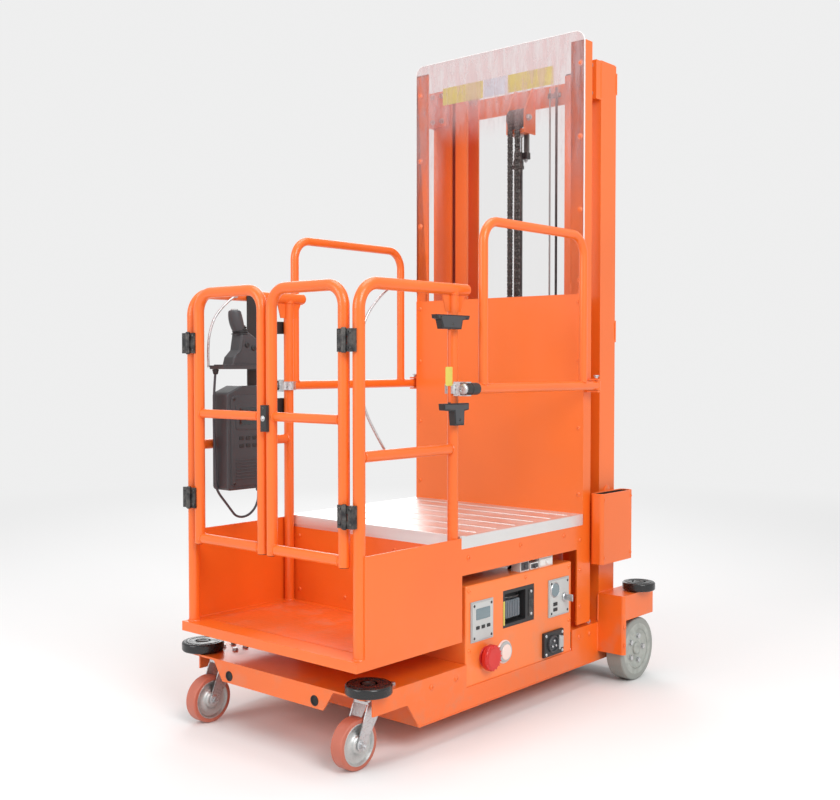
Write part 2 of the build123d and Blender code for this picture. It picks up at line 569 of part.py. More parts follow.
# Carriage: uprights, ties, roller arms and chain anchor
FRAME_Y = PANEL_Y + SKIN
ARM_BACK = MAST_Y + 70
ARM_PAD = 45.0
ARM_PIN_R = 10.0
CARRIAGE_TIES = ((300.0, 360.0), (610.0, 680.0), (1370.0, PANEL_TOP))
with BuildPart() as carriage:
    for side_name, side in SIDES:
        outer = side * HALF_WIDTH
        slab(outer, side * (HALF_WIDTH - UPRIGHT_FLANGE), FRAME_Y, FRAME_Y + PLATE,
             CARRIAGE_FOOT, CARRIAGE_TOP)
        slab(outer, side * (HALF_WIDTH - PLATE), FRAME_Y, FRAME_Y + UPRIGHT_DEPTH,
             CARRIAGE_FOOT, CARRIAGE_TOP)
        slab(side * (ARM_X - ARM_T / 2), side * (ARM_X + ARM_T / 2), FRAME_Y, ARM_BACK,
             ROLLER_LOW_Z - ARM_PAD, ROLLER_HIGH_Z + ARM_PAD)
        for z in (ROLLER_LOW_Z, ROLLER_HIGH_Z):
            shaft(side * ARM_X, side * (INNER_X - STEEL - 8), INNER_Y + INNER_DEPTH / 2, z, ARM_PIN_R)
    for z0, z1 in CARRIAGE_TIES:
        slab(-HALF_WIDTH, HALF_WIDTH, FRAME_Y, FRAME_Y + PLATE, z0, z1)
    slab(-CLEVIS_HALF, CLEVIS_HALF, FRAME_Y, CYLINDER_Y - CHAIN_R + CHAIN_T / 2 - 3,
         ANCHOR_Z, ANCHOR_Z + ANCHOR_H)
    slab(-CLEVIS_HALF, CLEVIS_HALF, FRAME_Y, FRAME_Y + PLATE, ANCHOR_Z, ANCHOR_Z + 40)
keep(carriage, "carriage")

ROLLER_R = INNER_DEPTH / 2 - STEEL - 1.0
ROLLER_OUT_X = INNER_X - STEEL - 2 * END_GAP
ROLLER_W = 42.0
with BuildPart() as carriage_rollers:
    for side_name, side in SIDES:
        for z in (ROLLER_LOW_Z, ROLLER_HIGH_Z):
            middle = INNER_Y + INNER_DEPTH / 2
            shaft(side * (ROLLER_OUT_X - ROLLER_W), side * ROLLER_OUT_X, middle, z, ROLLER_R)
            shaft(side * ARM_X, side * INNER_X, middle, z, ARM_PIN_R + RUNNING_GAP, Mode.SUBTRACT)
keep(carriage_rollers, "carriage_rollers")

with BuildPart() as back_panel:
    slab(-HALF_WIDTH, HALF_WIDTH, PANEL_Y, PANEL_Y + SKIN, DECK_TOP, PANEL_TOP)
keep(back_panel, "back_panel")

with BuildPart() as clear_screen:
    with BuildSketch(Plane.XZ.offset(-FRAME_Y)) as sheet:
        with Locations((0, (PANEL_TOP + SCREEN_TOP) / 2)):
            Rectangle(2 * HALF_WIDTH, SCREEN_TOP - PANEL_TOP - SEAT_GAP)
        fillet(sheet.vertices().group_by(Axis.Z)[-1], SCREEN_CORNER)
    extrude(amount=SCREEN_THICKNESS)
keep(clear_screen, "clear_screen")

# Load deck: a folded tray with its edge turned down
with BuildPart() as load_deck:
    slab(-HALF_WIDTH, HALF_WIDTH, STEP_Y, PANEL_Y, DECK_TOP - DECK_EDGE, DECK_TOP)
    offset(amount=-SKIN, openings=load_deck.faces().sort_by(Axis.Z)[0])
keep(load_deck, "load_deck")

# Deck frame: side panels with the legs that run down beside the cover, and the joists
PANEL_FOOT = 507.0
LEG_Y = 385.0
JOISTS_Y = (-190.0, 75.0, 340.0)
JOIST_HALF, JOIST_H = 20.0, 50.0
with BuildPart() as deck_frame:
    edge = DECK_TOP - DECK_EDGE
    step = STEP_Y + SKIN
    for side_name, side in SIDES:
        outline = [(step, PANEL_FOOT), (LEG_Y, PANEL_FOOT), (LEG_Y, CARRIAGE_FOOT), (FRAME_Y, CARRIAGE_FOOT),
                   (FRAME_Y, edge), (step, edge)]
        side_plate(side * (HALF_WIDTH - PLATE), side * HALF_WIDTH, outline)
    for y in JOISTS_Y:
        slab(-HALF_WIDTH + PLATE, HALF_WIDTH - PLATE, y - JOIST_HALF, y + JOIST_HALF, edge - JOIST_H, edge)
keep(deck_frame, "deck_frame")

# Operator's cage: floor tray with a front lip, side walls and the riser up to the deck
LIP_H = 31.0
floor = FLOOR_UNDER + LIP_H
with BuildPart() as cage_tray:
    slab(-HALF_WIDTH, HALF_WIDTH, CAGE_FRONT_Y, STEP_Y + SKIN, floor - SKIN, floor)
    slab(-HALF_WIDTH, HALF_WIDTH, CAGE_FRONT_Y, CAGE_FRONT_Y + SKIN, FLOOR_UNDER, floor)
    slab(-HALF_WIDTH, HALF_WIDTH, STEP_Y, STEP_Y + SKIN, FLOOR_UNDER, DECK_TOP - DECK_EDGE)
    for side_name, side in SIDES:
        slab(side * (HALF_WIDTH - SKIN), side * HALF_WIDTH, GUARD_POST_Y, STEP_Y, FLOOR_UNDER, WALL_TOP)
        slab(side * (HALF_WIDTH - SKIN), side * HALF_WIDTH, CAGE_FRONT_Y, GUARD_POST_Y, FLOOR_UNDER, floor)
keep(cage_tray, "cage_tray")

# Guards: a bent tube each side that runs on past its rear post, with a middle rail
GUARD_X = HALF_WIDTH - SKIN - GUARD_R - SEAT_GAP
GUARD_CENTRE_TOP = GUARD_TOP - GUARD_R
GUSSET = ((-350.0, GUARD_CENTRE_TOP), (-228.0, GUARD_CENTRE_TOP), (-258.0, 1330.0), (-330.0, 1330.0))
GUSSET_T = 5.0
with BuildPart() as guards:
    for side_name, side in SIDES:
        x = side * GUARD_X
        bar([(x, GUARD_POST_Y, floor), (x, GUARD_POST_Y, GUARD_CENTRE_TOP),
             (x, GUARD_STUB_Y, GUARD_CENTRE_TOP)], GUARD_R, GUARD_BEND)
        post(x, GUARD_REAR_Y, floor, GUARD_CENTRE_TOP, GUARD_R - 1)
        bar([(x, GUARD_POST_Y, GUARD_MID_Z), (x, GUARD_REAR_Y, GUARD_MID_Z)], GUARD_R - 2)
        side_plate(x - GUSSET_T / 2, x + GUSSET_T / 2, GUSSET)
keep(guards, "guards")

# Catches on the rear posts: a collar with a cradle, open outwards, for the side rail's front end
CATCH_H = 15.0
CATCH_COLLAR_T = 7.0
CRADLE_HALF = 12.0
CRADLE_T = 4.0
CRADLE_GAP = 2.0
CATCH_LIP_X = RAIL_X + 8.0
CATCH_Z = (RAIL_Z - RAIL_R - CRADLE_GAP - CRADLE_T, RAIL_Z + RAIL_R + CRADLE_GAP + CRADLE_T)
with BuildPart() as rail_catches:
    for side_name, side in SIDES:
        x = side * GUARD_X
        span = (GUARD_REAR_Y - CRADLE_HALF, GUARD_REAR_Y + CRADLE_HALF)
        post(x, GUARD_REAR_Y, RAIL_Z - CATCH_H, RAIL_Z + CATCH_H, GUARD_R + CATCH_COLLAR_T)
        slab(x, side * (RAIL_X - RAIL_R - SEAT_GAP), *span, *CATCH_Z)
        slab(x, side * CATCH_LIP_X, *span, CATCH_Z[1] - CRADLE_T, CATCH_Z[1])
        slab(x, side * CATCH_LIP_X, *span, CATCH_Z[0], CATCH_Z[0] + CRADLE_T)
        post(x, GUARD_REAR_Y, CATCH_Z[0] - 1, CATCH_Z[1] + 1, GUARD_R - 1 + RUNNING_GAP, Mode.SUBTRACT)
keep(rail_catches, "rail_catches")

# Latch handles on the rear posts: a wedge grip above, a T-shaped pull below, and the rod that joins them
HANDLE_T = 22.0
HANDLE_X = GUARD_X + GUARD_R - 1 + SEAT_GAP
ROD_Y, LATCH_ROD_R = -345.0, 4.5
UPPER_GRIP = ((-416.0, 1318.0), (-258.0, 1318.0), (-262.0, 1306.0), (-292.0, 1303.0), (-300.0, 1275.0),
              (-388.0, 1275.0), (-398.0, 1303.0), (-414.0, 1306.0))
PULL_BAR = ((-383.0, 1048.0), (-262.0, 1048.0), (-262.0, 1028.0), (-284.0, 1024.0), (-286.0, 980.0),
            (-330.0, 980.0), (-335.0, 1024.0), (-380.0, 1028.0))
with BuildPart() as catch_knobs:
    for side_name, side in SIDES:
        side_plate(side * HANDLE_X, side * (HANDLE_X + HANDLE_T), UPPER_GRIP)
        side_plate(side * HANDLE_X, side * (HANDLE_X + HANDLE_T), PULL_BAR)
        post(side * (HANDLE_X + HANDLE_T / 2), ROD_Y, PULL_BAR[0][1] - 5, UPPER_GRIP[4][1] + 5, LATCH_ROD_R)
keep(catch_knobs, "catch_knobs")

# Side rails: a low rail with a tall loop on it, hung on a pin at the carriage
EAR_T = 6.0
EAR_HALF = 15.0
KNUCKLE_R = 15.0
RAIL_END_Y = RAIL_PIVOT_Y - 8.0
for side_name, side in SIDES:
    x = side * RAIL_X
    with BuildPart() as side_rail:
        bar([(x, RAIL_FRONT_Y, RAIL_Z), (x, RAIL_END_Y, RAIL_Z)], RAIL_R)
        post(x, RAIL_PIVOT_Y, RAIL_Z - RAIL_R, RAIL_Z + RAIL_R, KNUCKLE_R)
        loop_top = RAIL_TOP - RAIL_R
        bar([(x, RAIL_LEGS_Y[0], RAIL_Z), (x, RAIL_LEGS_Y[0], loop_top), (x, RAIL_LEGS_Y[1], loop_top),
             (x, RAIL_LEGS_Y[1], RAIL_Z)], RAIL_R - 1, RAIL_BEND)
        post(x, RAIL_PIVOT_Y, RAIL_Z - 2 * RAIL_R, RAIL_Z + 2 * RAIL_R, PIVOT_R + RUNNING_GAP, Mode.SUBTRACT)
    keep(side_rail, f"side_rail_{side_name}")

# Hangers on the carriage: two ears each, with the pivot pin through them
with BuildPart() as rail_hangers:
    for side_name, side in SIDES:
        low = RAIL_Z - RAIL_R - CRADLE_GAP - EAR_T
        high = RAIL_Z + RAIL_R + CRADLE_GAP
        span = (RAIL_PIVOT_Y - EAR_HALF, RAIL_PIVOT_Y + EAR_HALF)
        for z in (low, high):
            slab(side * HALF_WIDTH, side * (RAIL_X + EAR_HALF), *span, z, z + EAR_T)
        slab(side * HALF_WIDTH, side * (HALF_WIDTH + EAR_T), *span, low, high + EAR_T)
        post(side * RAIL_X, RAIL_PIVOT_Y, low, high + EAR_T + 8, PIVOT_R)
keep(rail_hangers, "rail_hangers")

# Gate leaves, their hinges and the bolt between them
HINGE_PIN_R = 5.0
KNUCKLE_T = 4.0
HINGE_Y = LEAF_Y - LEAF_R - 8.0
FLAP_X = (12.0, 29.0)
FLAP_BACK = HINGE_Y + 7.7
POST_FRONT = GUARD_POST_Y - GUARD_R - SEAT_GAP
LEAF_OUTER_X = HINGE_X - 25.0
LEAF_INNER_X = LEAF_CENTRE_GAP / 2 + LEAF_R
KNUCKLE_GAP = 0.5
third = HINGE_H / 3
for side_name, side in SIDES:
    with BuildPart() as leaf:
        far, near = side * LEAF_OUTER_X, side * LEAF_INNER_X
        top = LEAF_TOP - LEAF_R
        foot = LEAF_FOOT + LEAF_R
        bar([(far, LEAF_Y, LEAF_FOOT), (far, LEAF_Y, top), (near, LEAF_Y, top), (near, LEAF_Y, LEAF_FOOT)],
            LEAF_R, LEAF_BEND)
        bar([(far, LEAF_Y, foot), (near, LEAF_Y, foot)], LEAF_R - 1)
        bar([(far, LEAF_Y, LEAF_MID_Z), (near, LEAF_Y, LEAF_MID_Z)], LEAF_MID_R)
    keep(leaf, f"gate_leaf_{side_name}")

    with BuildPart() as hinge_moving:
        for z in HINGE_HEIGHTS:
            knuckle = (z - third / 2, z + third / 2 - KNUCKLE_GAP)
            post(side * HINGE_X, HINGE_Y, *knuckle, HINGE_PIN_R + KNUCKLE_T)
            slab(side * HINGE_X, side * (HINGE_X - FLAP_X[1]), HINGE_Y + 1, FLAP_BACK, *knuckle)
            slab(side * (HINGE_X - FLAP_X[0]), side * (HINGE_X - FLAP_X[1]), HINGE_Y + 1, FLAP_BACK,
                 z - HINGE_H / 2, z + HINGE_H / 2 - KNUCKLE_GAP)
            post(side * HINGE_X, HINGE_Y, z - HINGE_H, z + HINGE_H, HINGE_PIN_R + RUNNING_GAP, Mode.SUBTRACT)
    keep(hinge_moving, f"hinge_moving_{side_name}")

with BuildPart() as hinges_fixed:
    for side_name, side in SIDES:
        for z in HINGE_HEIGHTS:
            low, high = z - HINGE_H / 2, z + HINGE_H / 2
            post(side * HINGE_X, HINGE_Y, low, high, HINGE_PIN_R)
            for z0 in (low, high - third):
                post(side * HINGE_X, HINGE_Y, z0, z0 + third - KNUCKLE_GAP, HINGE_PIN_R + KNUCKLE_T)
                slab(side * HINGE_X, side * (HINGE_X + FLAP_X[1]), HINGE_Y + 1, HINGE_Y + 6, z0,
                     z0 + third - KNUCKLE_GAP)
            slab(side * (HINGE_X + FLAP_X[0]), side * (HINGE_X + FLAP_X[1] + 3), HINGE_Y + 1, POST_FRONT, low,
                 high - KNUCKLE_GAP)
keep(hinges_fixed, "hinges_fixed")

BOLT_Z = (965.0, 1045.0)
BOLT_T = 14.0
with BuildPart() as gate_bolt:
    slab(LEAF_INNER_X - LEAF_R - 1, LEAF_INNER_X + 7, LEAF_Y - LEAF_R - BOLT_T, LEAF_Y - LEAF_R - SEAT_GAP,
         *BOLT_Z)
    fillet(gate_bolt.faces().sort_by(Axis.Y)[0].edges(), 3)
keep(gate_bolt, "gate_bolt")

# Console on the left guard: box with a sloped top, joystick above, on one upright strap
CONSOLE_DEPTH, STRAP_T = 80.0, 4.0
CONSOLE_X = (-GUARD_X + GUARD_R + SEAT_GAP, -GUARD_X + GUARD_R + CONSOLE_DEPTH)
CONSOLE_Y = (-650.0, -455.0)
CONSOLE_Z = (755.0, 1097.0)
CONSOLE_SLOPE = (60.0, 24.0)
STRAP_Y = (-500.0, -460.0)
with BuildPart() as console_box:
    box_side = [(CONSOLE_Y[0], CONSOLE_Z[0]), (CONSOLE_Y[1], CONSOLE_Z[0]), (CONSOLE_Y[1], CONSOLE_Z[1]),
                (CONSOLE_Y[0] + CONSOLE_SLOPE[0], CONSOLE_Z[1]),
                (CONSOLE_Y[0], CONSOLE_Z[1] - CONSOLE_SLOPE[1])]
    side_plate(CONSOLE_X[0] + STRAP_T, CONSOLE_X[1], box_side)
    fillet(console_box.edges().filter_by(Axis.X), 14)
    fillet(console_box.faces().sort_by(Axis.X)[-1].edges(), 6)
keep(console_box, "console_box")

STICK_Z = 1152.0
STICK_BASE_Y = (-662.0, -480.0)
STICK_BASE_T = 12.0
STICK_HALF = 27.0
STICK_MID_X = sum(CONSOLE_X) / 2
STICK_BODY = ((-619.0, 1164.0), (-482.0, 1164.0), (-482.0, 1246.0), (-517.0, 1256.0), (-545.0, 1274.0),
              (-577.0, 1268.0), (-586.0, 1215.0), (-611.0, 1191.0))
GRIP_RINGS = ((-561.0, 1262.0, 17.0), (-578.0, 1306.0, 24.0), (-586.0, 1346.0, 20.0))
with BuildPart() as console_strap:
    slab(CONSOLE_X[0], CONSOLE_X[0] + STRAP_T, *STRAP_Y, CONSOLE_Z[0], GUARD_CENTRE_TOP)
    slab(CONSOLE_X[0], CONSOLE_X[1], *STRAP_Y, STICK_Z - STRAP_T, STICK_Z)
keep(console_strap, "console_strap")

with BuildPart() as joystick:
    slab(CONSOLE_X[0] + STRAP_T + 1, CONSOLE_X[1], *STICK_BASE_Y, STICK_Z, STICK_Z + STICK_BASE_T)
    side_plate(STICK_MID_X - STICK_HALF, STICK_MID_X + STICK_HALF, STICK_BODY)
    fillet(joystick.faces().filter_by(Axis.X).edges().filter_by(lambda e: e.center().Z > STICK_Z + 20), 7)
    for y, z, radius in GRIP_RINGS:
        with BuildSketch(Plane.XY.offset(z)):
            with Locations((STICK_MID_X, y)):
                Circle(radius)
    loft()
    fillet(joystick.faces().sort_by(Axis.Z)[-1].edges(), 8)
keep(joystick, "joystick")


def corner_radii(points):
    """Radii for a cord's corners: each as large as nine tenths of half its shorter run allows."""
    radii = []
    for before, here, after in zip(points, points[1:], points[2:]):
        first, second = Vector(*here) - Vector(*before), Vector(*after) - Vector(*here)
        half_turn = math.radians(first.get_angle(second) / 2)
        radii.append(CORD_SHARE * min(first.length, second.length) / math.tan(half_turn))
    return radii


def cord(points, radius):
    """A round cord along a route, each corner rounded by its own radius, in the open part."""
    radii = corner_radii(points)
    print("cord radii", [round(value) for value in radii])
    with BuildLine() as route:
        FilletPolyline(*points, radius=radii)
    with BuildSketch(Plane(origin=route.line @ 0, z_dir=route.line % 0)) as section:
        Circle(radius)
    sweep(sections=section.sketch, path=route.line)


# Cables held at both ends: the console's lead, and on each guard a stay that hangs from the top rail
CORD_SHARE = 0.45
LEAD_R, STAY_R = 4.0, 4.0
LEAD_X = -330.0
LEAD_ROUTE = ((-655.0, STICK_Z), (-662.0, 1075.0), (-664.0, 990.0), (-661.0, 900.0), (-657.0, 815.0),
              (-656.5, 765.0), (-642.0, 740.0), (-619.0, 714.0), (-597.0, 688.0), (-574.4, 662.0),
              (-544.3, 654.5), (-514.0, 661.0), (-489.6, 680.0), (-476.0, 707.9), (-475.5, 732.0),
              (-474.5, CONSOLE_Z[0]))
STAY_ROUTES = {"left": ((-545.0, 1401.0), (-598.0, 1366.0), (-643.0, 1320.0), (-664.0, 1262.0),
                        (-668.0, 1205.0), (STICK_BASE_Y[0] - STAY_R - SEAT_GAP, STICK_Z + 6)),
               "right": ((-545.0, 1401.0), (-600.0, 1366.0), (-655.0, 1313.0), (-686.0, 1240.0),
                         (-689.0, 1160.0), (-683.0, 1080.0), (-652.0, 1013.0), (-606.0, 950.0),
                         (-572.0, 906.0))}
CLIP_HALF = 8.0
with BuildPart() as console_cable:
    cord([(LEAD_X, y, z) for y, z in LEAD_ROUTE], LEAD_R)
keep(console_cable, "console_cable")

with BuildPart() as stay_cables:
    for side_name, side in SIDES:
        x = side * (GUARD_X - GUARD_R - STAY_R - SEAT_GAP)
        cord([(x, y, z) for y, z in STAY_ROUTES[side_name]], STAY_R)
    y, z = STAY_ROUTES["right"][-1]
    slab(x - STAY_R - 1, GUARD_X - GUARD_R + 1.7, y - CLIP_HALF, y + CLIP_HALF, z - CLIP_HALF, z + CLIP_HALF)
keep(stay_cables, "stay_cables")
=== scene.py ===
"""Order picker truck: finishes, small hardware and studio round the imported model.

Lengths are metres in the model's frame: +X is the truck's right, -Y the gates' side, +Z up.
"""

import logging
import math
from dataclasses import dataclass
from enum import Enum
from typing import Any, Iterable, Mapping, Sequence

import bmesh
import bpy
import numpy as np
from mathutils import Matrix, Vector


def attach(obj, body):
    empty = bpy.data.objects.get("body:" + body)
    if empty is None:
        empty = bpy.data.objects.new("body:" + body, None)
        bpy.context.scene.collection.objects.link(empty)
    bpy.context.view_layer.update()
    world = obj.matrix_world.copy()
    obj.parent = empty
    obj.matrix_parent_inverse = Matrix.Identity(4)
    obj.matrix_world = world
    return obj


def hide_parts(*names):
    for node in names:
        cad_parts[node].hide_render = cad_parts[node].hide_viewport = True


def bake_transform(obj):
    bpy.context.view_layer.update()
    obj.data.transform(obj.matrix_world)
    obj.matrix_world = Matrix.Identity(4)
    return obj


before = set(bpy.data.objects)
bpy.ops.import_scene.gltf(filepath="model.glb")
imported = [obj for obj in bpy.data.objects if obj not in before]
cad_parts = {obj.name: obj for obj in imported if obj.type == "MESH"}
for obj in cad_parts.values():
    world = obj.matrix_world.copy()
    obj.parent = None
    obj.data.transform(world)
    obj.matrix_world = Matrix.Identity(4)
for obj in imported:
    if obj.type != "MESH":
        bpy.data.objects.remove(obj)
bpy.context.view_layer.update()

Colour = tuple[float, float, float]
Vec = tuple[float, float, float]
LOG = logging.getLogger("order_picker")
SIDES = (("left", -1.0), ("right", 1.0))
BOTH = (-1.0, 1.0)
TIP = 0.0005  # radius at which a turned face ends, in metres
CREASE = 34.0  # edges sharper than this, in degrees, stay crisp
RIPPLE = 0.0032  # length of one ripple of a weld, in metres
TWIST = 17.0  # turn from one fastener to the next, in degrees
HEAD_SIDES = 24  # points round a fastener's head


# ---------------------------------------------------------------- shader tools


class Wire:
    """A shader socket whose arithmetic adds Math nodes."""

    def __init__(self, graph: "Graph", socket: bpy.types.NodeSocket) -> None:
        """Keep the graph and the socket."""
        self.graph = graph
        self.socket = socket

    def math(self, operation: str, *values: Any) -> "Wire":
        """Apply a Math operation.

        Args:
            operation: the Math node's operation.
            values: its operands, sockets or numbers.

        Returns:
            The result's socket.
        """
        return self.graph.add("ShaderNodeMath", {"operation": operation}, dict(enumerate(values)))

    def __add__(self, other: Any) -> "Wire":
        """Sum."""
        return self.math("ADD", self, other)

    def __mul__(self, other: Any) -> "Wire":
        """Product."""
        return self.math("MULTIPLY", self, other)

    def __sub__(self, other: Any) -> "Wire":
        """Difference."""
        return self.math("SUBTRACT", self, other)

    def __rsub__(self, other: Any) -> "Wire":
        """Difference the other way round, so that 1 - mask works."""
        return self.math("SUBTRACT", other, self)

    def __pow__(self, other: Any) -> "Wire":
        """Power."""
        return self.math("POWER", self, other)

    def ramp(self, low: float, high: float, start: float = 0.0, end: float = 1.0) -> "Wire":
        """Map low..high smoothly to start..end.

        Args:
            low: value that maps to start.
            high: value that maps to end.
            start: result at low.
            end: result at high.

        Returns:
            The mapped socket.
        """
        return self.graph.add(
            "ShaderNodeMapRange",
            {"interpolation_type": "SMOOTHSTEP"},
            {"Value": self, "From Min": low, "From Max": high, "To Min": start, "To Max": end},
        )


class Graph:
    """One material's or world's node tree."""

    def __init__(self, owner: Any) -> None:
        """Empty the owner's tree.

        Args:
            owner: the material or world that holds the tree.
        """
        owner.use_nodes = True
        self.tree = owner.node_tree
        self.tree.nodes.clear()

    def add(self, kind: str, settings: Mapping[str, Any] | None = None,
            inputs: Mapping[Any, Any] | None = None, output: Any = 0) -> Wire:
        """Add a node.

        Args:
            kind: the node's type.
            settings: its own settings, set before its sockets.
            inputs: values or links of its sockets, by name or number.
            output: the socket that is returned.

        Returns:
            That output, wrapped.
        """
        node = self.tree.nodes.new(kind)
        for name, value in (settings or {}).items():
            setattr(node, name, value)
        for key, value in (inputs or {}).items():
            if isinstance(value, Wire):
                self.tree.links.new(value.socket, node.inputs[key])
            else:
                node.inputs[key].default_value = value
        return Wire(self, node.outputs[output] if len(node.outputs) else node.inputs[0])

    def position(self, scale: Vec = (1.0, 1.0, 1.0)) -> Wire:
        """Object coordinates, scaled by a Mapping node."""
        here = self.add("ShaderNodeTexCoord", output="Object")
        return self.add("ShaderNodeMapping", {}, {"Vector": here, "Scale": scale})

    def axis(self, name: str) -> Wire:
        """One of the Object coordinates, X, Y or Z."""
        here = self.add("ShaderNodeTexCoord", output="Object")
        return self.add("ShaderNodeSeparateXYZ", {}, {0: here}, name)

    def noise(self, scale: float, detail: float = 3.0, rough: float = 0.55,
              stretch: Vec = (1.0, 1.0, 1.0)) -> Wire:
        """Fractal noise on Object coordinates, from 0 to 1."""
        return self.add("ShaderNodeTexNoise", {}, {"Vector": self.position(stretch), "Scale": scale,
                                                   "Detail": detail, "Roughness": rough})

    def cells(self, scale: float) -> Wire:
        """Voronoi distance on Object coordinates."""
        return self.add("ShaderNodeTexVoronoi", {}, {"Vector": self.position(), "Scale": scale},
                        "Distance")

    def mix(self, share: Any, first: Any, second: Any) -> Wire:
        """Blend two colours by a share."""
        pair = [value if isinstance(value, Wire) else (*value, 1.0) for value in (first, second)]
        return self.add("ShaderNodeMix", {"data_type": "RGBA"}, {0: share, 6: pair[0], 7: pair[1]},
                        2)

    def bump(self, height: Wire, depth: float, strength: float) -> Wire:
        """Turn a height into a normal.

        Args:
            height: the height socket, from 0 to 1.
            depth: the height's size in metres.
            strength: the Bump node's strength.

        Returns:
            The normal's socket.
        """
        return self.add("ShaderNodeBump", {},
                        {"Height": height, "Distance": depth, "Strength": strength})

    def surface(self, **sockets: Any) -> None:
        """Add the main shader with sockets named in words, and connect the output."""
        names = {key.replace("_", " ").title().replace("Ior", "IOR"): value
                 for key, value in sockets.items()}
        for key, value in names.items():
            if "Color" in key and isinstance(value, tuple) and len(value) == 3:
                names[key] = (*value, 1.0)
        shader = self.add("ShaderNodeBsdfPrincipled", {}, names)
        self.add("ShaderNodeOutputMaterial", {}, {"Surface": shader})


def shade(base: Colour, factor: float) -> Colour:
    """A darker or lighter tone of a colour."""
    return tuple(min(1.0, part * factor) for part in base)


# ---------------------------------------------------------------- finishes


@dataclass(frozen=True)
class PowderCoat:
    """Baked powder paint: a fine peel, gentle tone drift, and dust near the floor."""

    base: Colour = (0.86, 0.155, 0.030)
    roughness: float = 0.36
    peel: float = 0.00012
    dust: float = 0.25

    def paint(self, graph: Graph) -> None:
        """Wire the finish into a graph.

        Args:
            graph: the material's graph.
        """
        drift = graph.noise(1.7, 2.0)
        tone = graph.mix(drift.ramp(0.3, 0.7), shade(self.base, 0.93), shade(self.base, 1.05))
        low = 1.0 - graph.axis("Z").ramp(0.05, 0.55)
        dusty = low * graph.noise(14.0, 4.0).ramp(0.45, 0.75) * self.dust
        colour = graph.mix(dusty, tone, (0.42, 0.30, 0.22))
        scuffs = graph.noise(60.0, 5.0, 0.7, (1.0, 1.0, 0.25)).ramp(0.62, 0.80)
        rough = scuffs * 0.12 + dusty * 0.5 + self.roughness
        peel = graph.bump(graph.noise(420.0, 2.0, 0.4), self.peel, 0.6)
        graph.surface(base_color=colour, roughness=rough, normal=peel, coat_weight=0.25,
                      coat_roughness=0.12)


@dataclass(frozen=True)
class MouldedPlastic:
    """Injection-moulded plastic with a fine spark-eroded grain."""

    base: Colour = (0.020, 0.020, 0.021)
    roughness: float = 0.45
    grain: float = 0.00010
    scale: float = 900.0

    def paint(self, graph: Graph) -> None:
        """Wire the finish into a graph.

        Args:
            graph: the material's graph.
        """
        drift = graph.noise(9.0, 3.0)
        colour = graph.mix(drift, shade(self.base, 0.85), shade(self.base, 1.2))
        rough = drift.ramp(0.3, 0.7, self.roughness - 0.06, self.roughness + 0.08)
        graph.surface(base_color=colour, roughness=rough,
                      normal=graph.bump(graph.cells(self.scale), self.grain, 0.5))


@dataclass(frozen=True)
class Rubber:
    """Turned rubber or polyurethane with fine patches of wear."""

    base: Colour = (0.015, 0.015, 0.016)
    roughness: float = 0.42
    bloom: Colour = (0.10, 0.10, 0.10)

    def paint(self, graph: Graph) -> None:
        """Wire the finish into a graph.

        Args:
            graph: the material's graph.
        """
        patches = graph.noise(35.0, 5.0, 0.65)
        colour = graph.mix(patches.ramp(0.50, 0.85, 0.0, 0.5), self.base, self.bloom)
        rough = patches.ramp(0.35, 0.75, self.roughness, self.roughness + 0.25)
        graph.surface(base_color=colour, roughness=rough,
                      normal=graph.bump(graph.noise(700.0, 3.0), 0.00012, 0.6))


@dataclass(frozen=True)
class PlatedSteel:
    """Zinc-plated or bare steel with a faint crystal pattern and rubbing marks."""

    base: Colour = (0.56, 0.57, 0.58)
    roughness: float = 0.34
    streak: Vec = (1.0, 1.0, 1.0)
    spangle: float = 0.5

    def paint(self, graph: Graph) -> None:
        """Wire the finish into a graph.

        Args:
            graph: the material's graph.
        """
        crystals = graph.cells(160.0)
        streaks = graph.noise(220.0, 4.0, 0.6, self.streak)
        tone = crystals.ramp(0.1, 0.7) * self.spangle + streaks * (1.0 - self.spangle)
        colour = graph.mix(tone, shade(self.base, 0.78), shade(self.base, 1.15))
        rough = tone.ramp(0.2, 0.8, self.roughness - 0.08, self.roughness + 0.14)
        graph.surface(base_color=colour, metallic=1.0, roughness=rough,
                      normal=graph.bump(streaks, 0.00004, 0.6))


@dataclass(frozen=True)
class DarkSteel:
    """Blackened, lightly oiled steel."""

    base: Colour = (0.045, 0.045, 0.048)
    roughness: float = 0.40

    def paint(self, graph: Graph) -> None:
        """Wire the finish into a graph.

        Args:
            graph: the material's graph.
        """
        film = graph.noise(40.0, 5.0, 0.6)
        colour = graph.mix(film.ramp(0.35, 0.8), self.base, (0.16, 0.15, 0.14))
        rough = film.ramp(0.3, 0.7, self.roughness - 0.12, self.roughness + 0.15)
        graph.surface(base_color=colour, metallic=0.85, roughness=rough,
                      normal=graph.bump(graph.noise(500.0, 3.0), 0.00006, 0.6))


@dataclass(frozen=True)
class BrushedSheet:
    """Pale aluminium sheet brushed across the deck."""

    base: Colour = (0.80, 0.79, 0.78)

    def paint(self, graph: Graph) -> None:
        """Wire the finish into a graph.

        Args:
            graph: the material's graph.
        """
        lines = graph.noise(90.0, 4.0, 0.7, (0.06, 6.0, 1.0))
        blotch = graph.noise(6.0, 4.0)
        colour = graph.mix(lines * 0.5 + blotch * 0.5, shade(self.base, 0.88),
                           shade(self.base, 1.04))
        rough = blotch.ramp(0.3, 0.7, 0.30, 0.44)
        graph.surface(base_color=colour, metallic=0.75, roughness=rough,
                      normal=graph.bump(lines, 0.00006, 0.5))


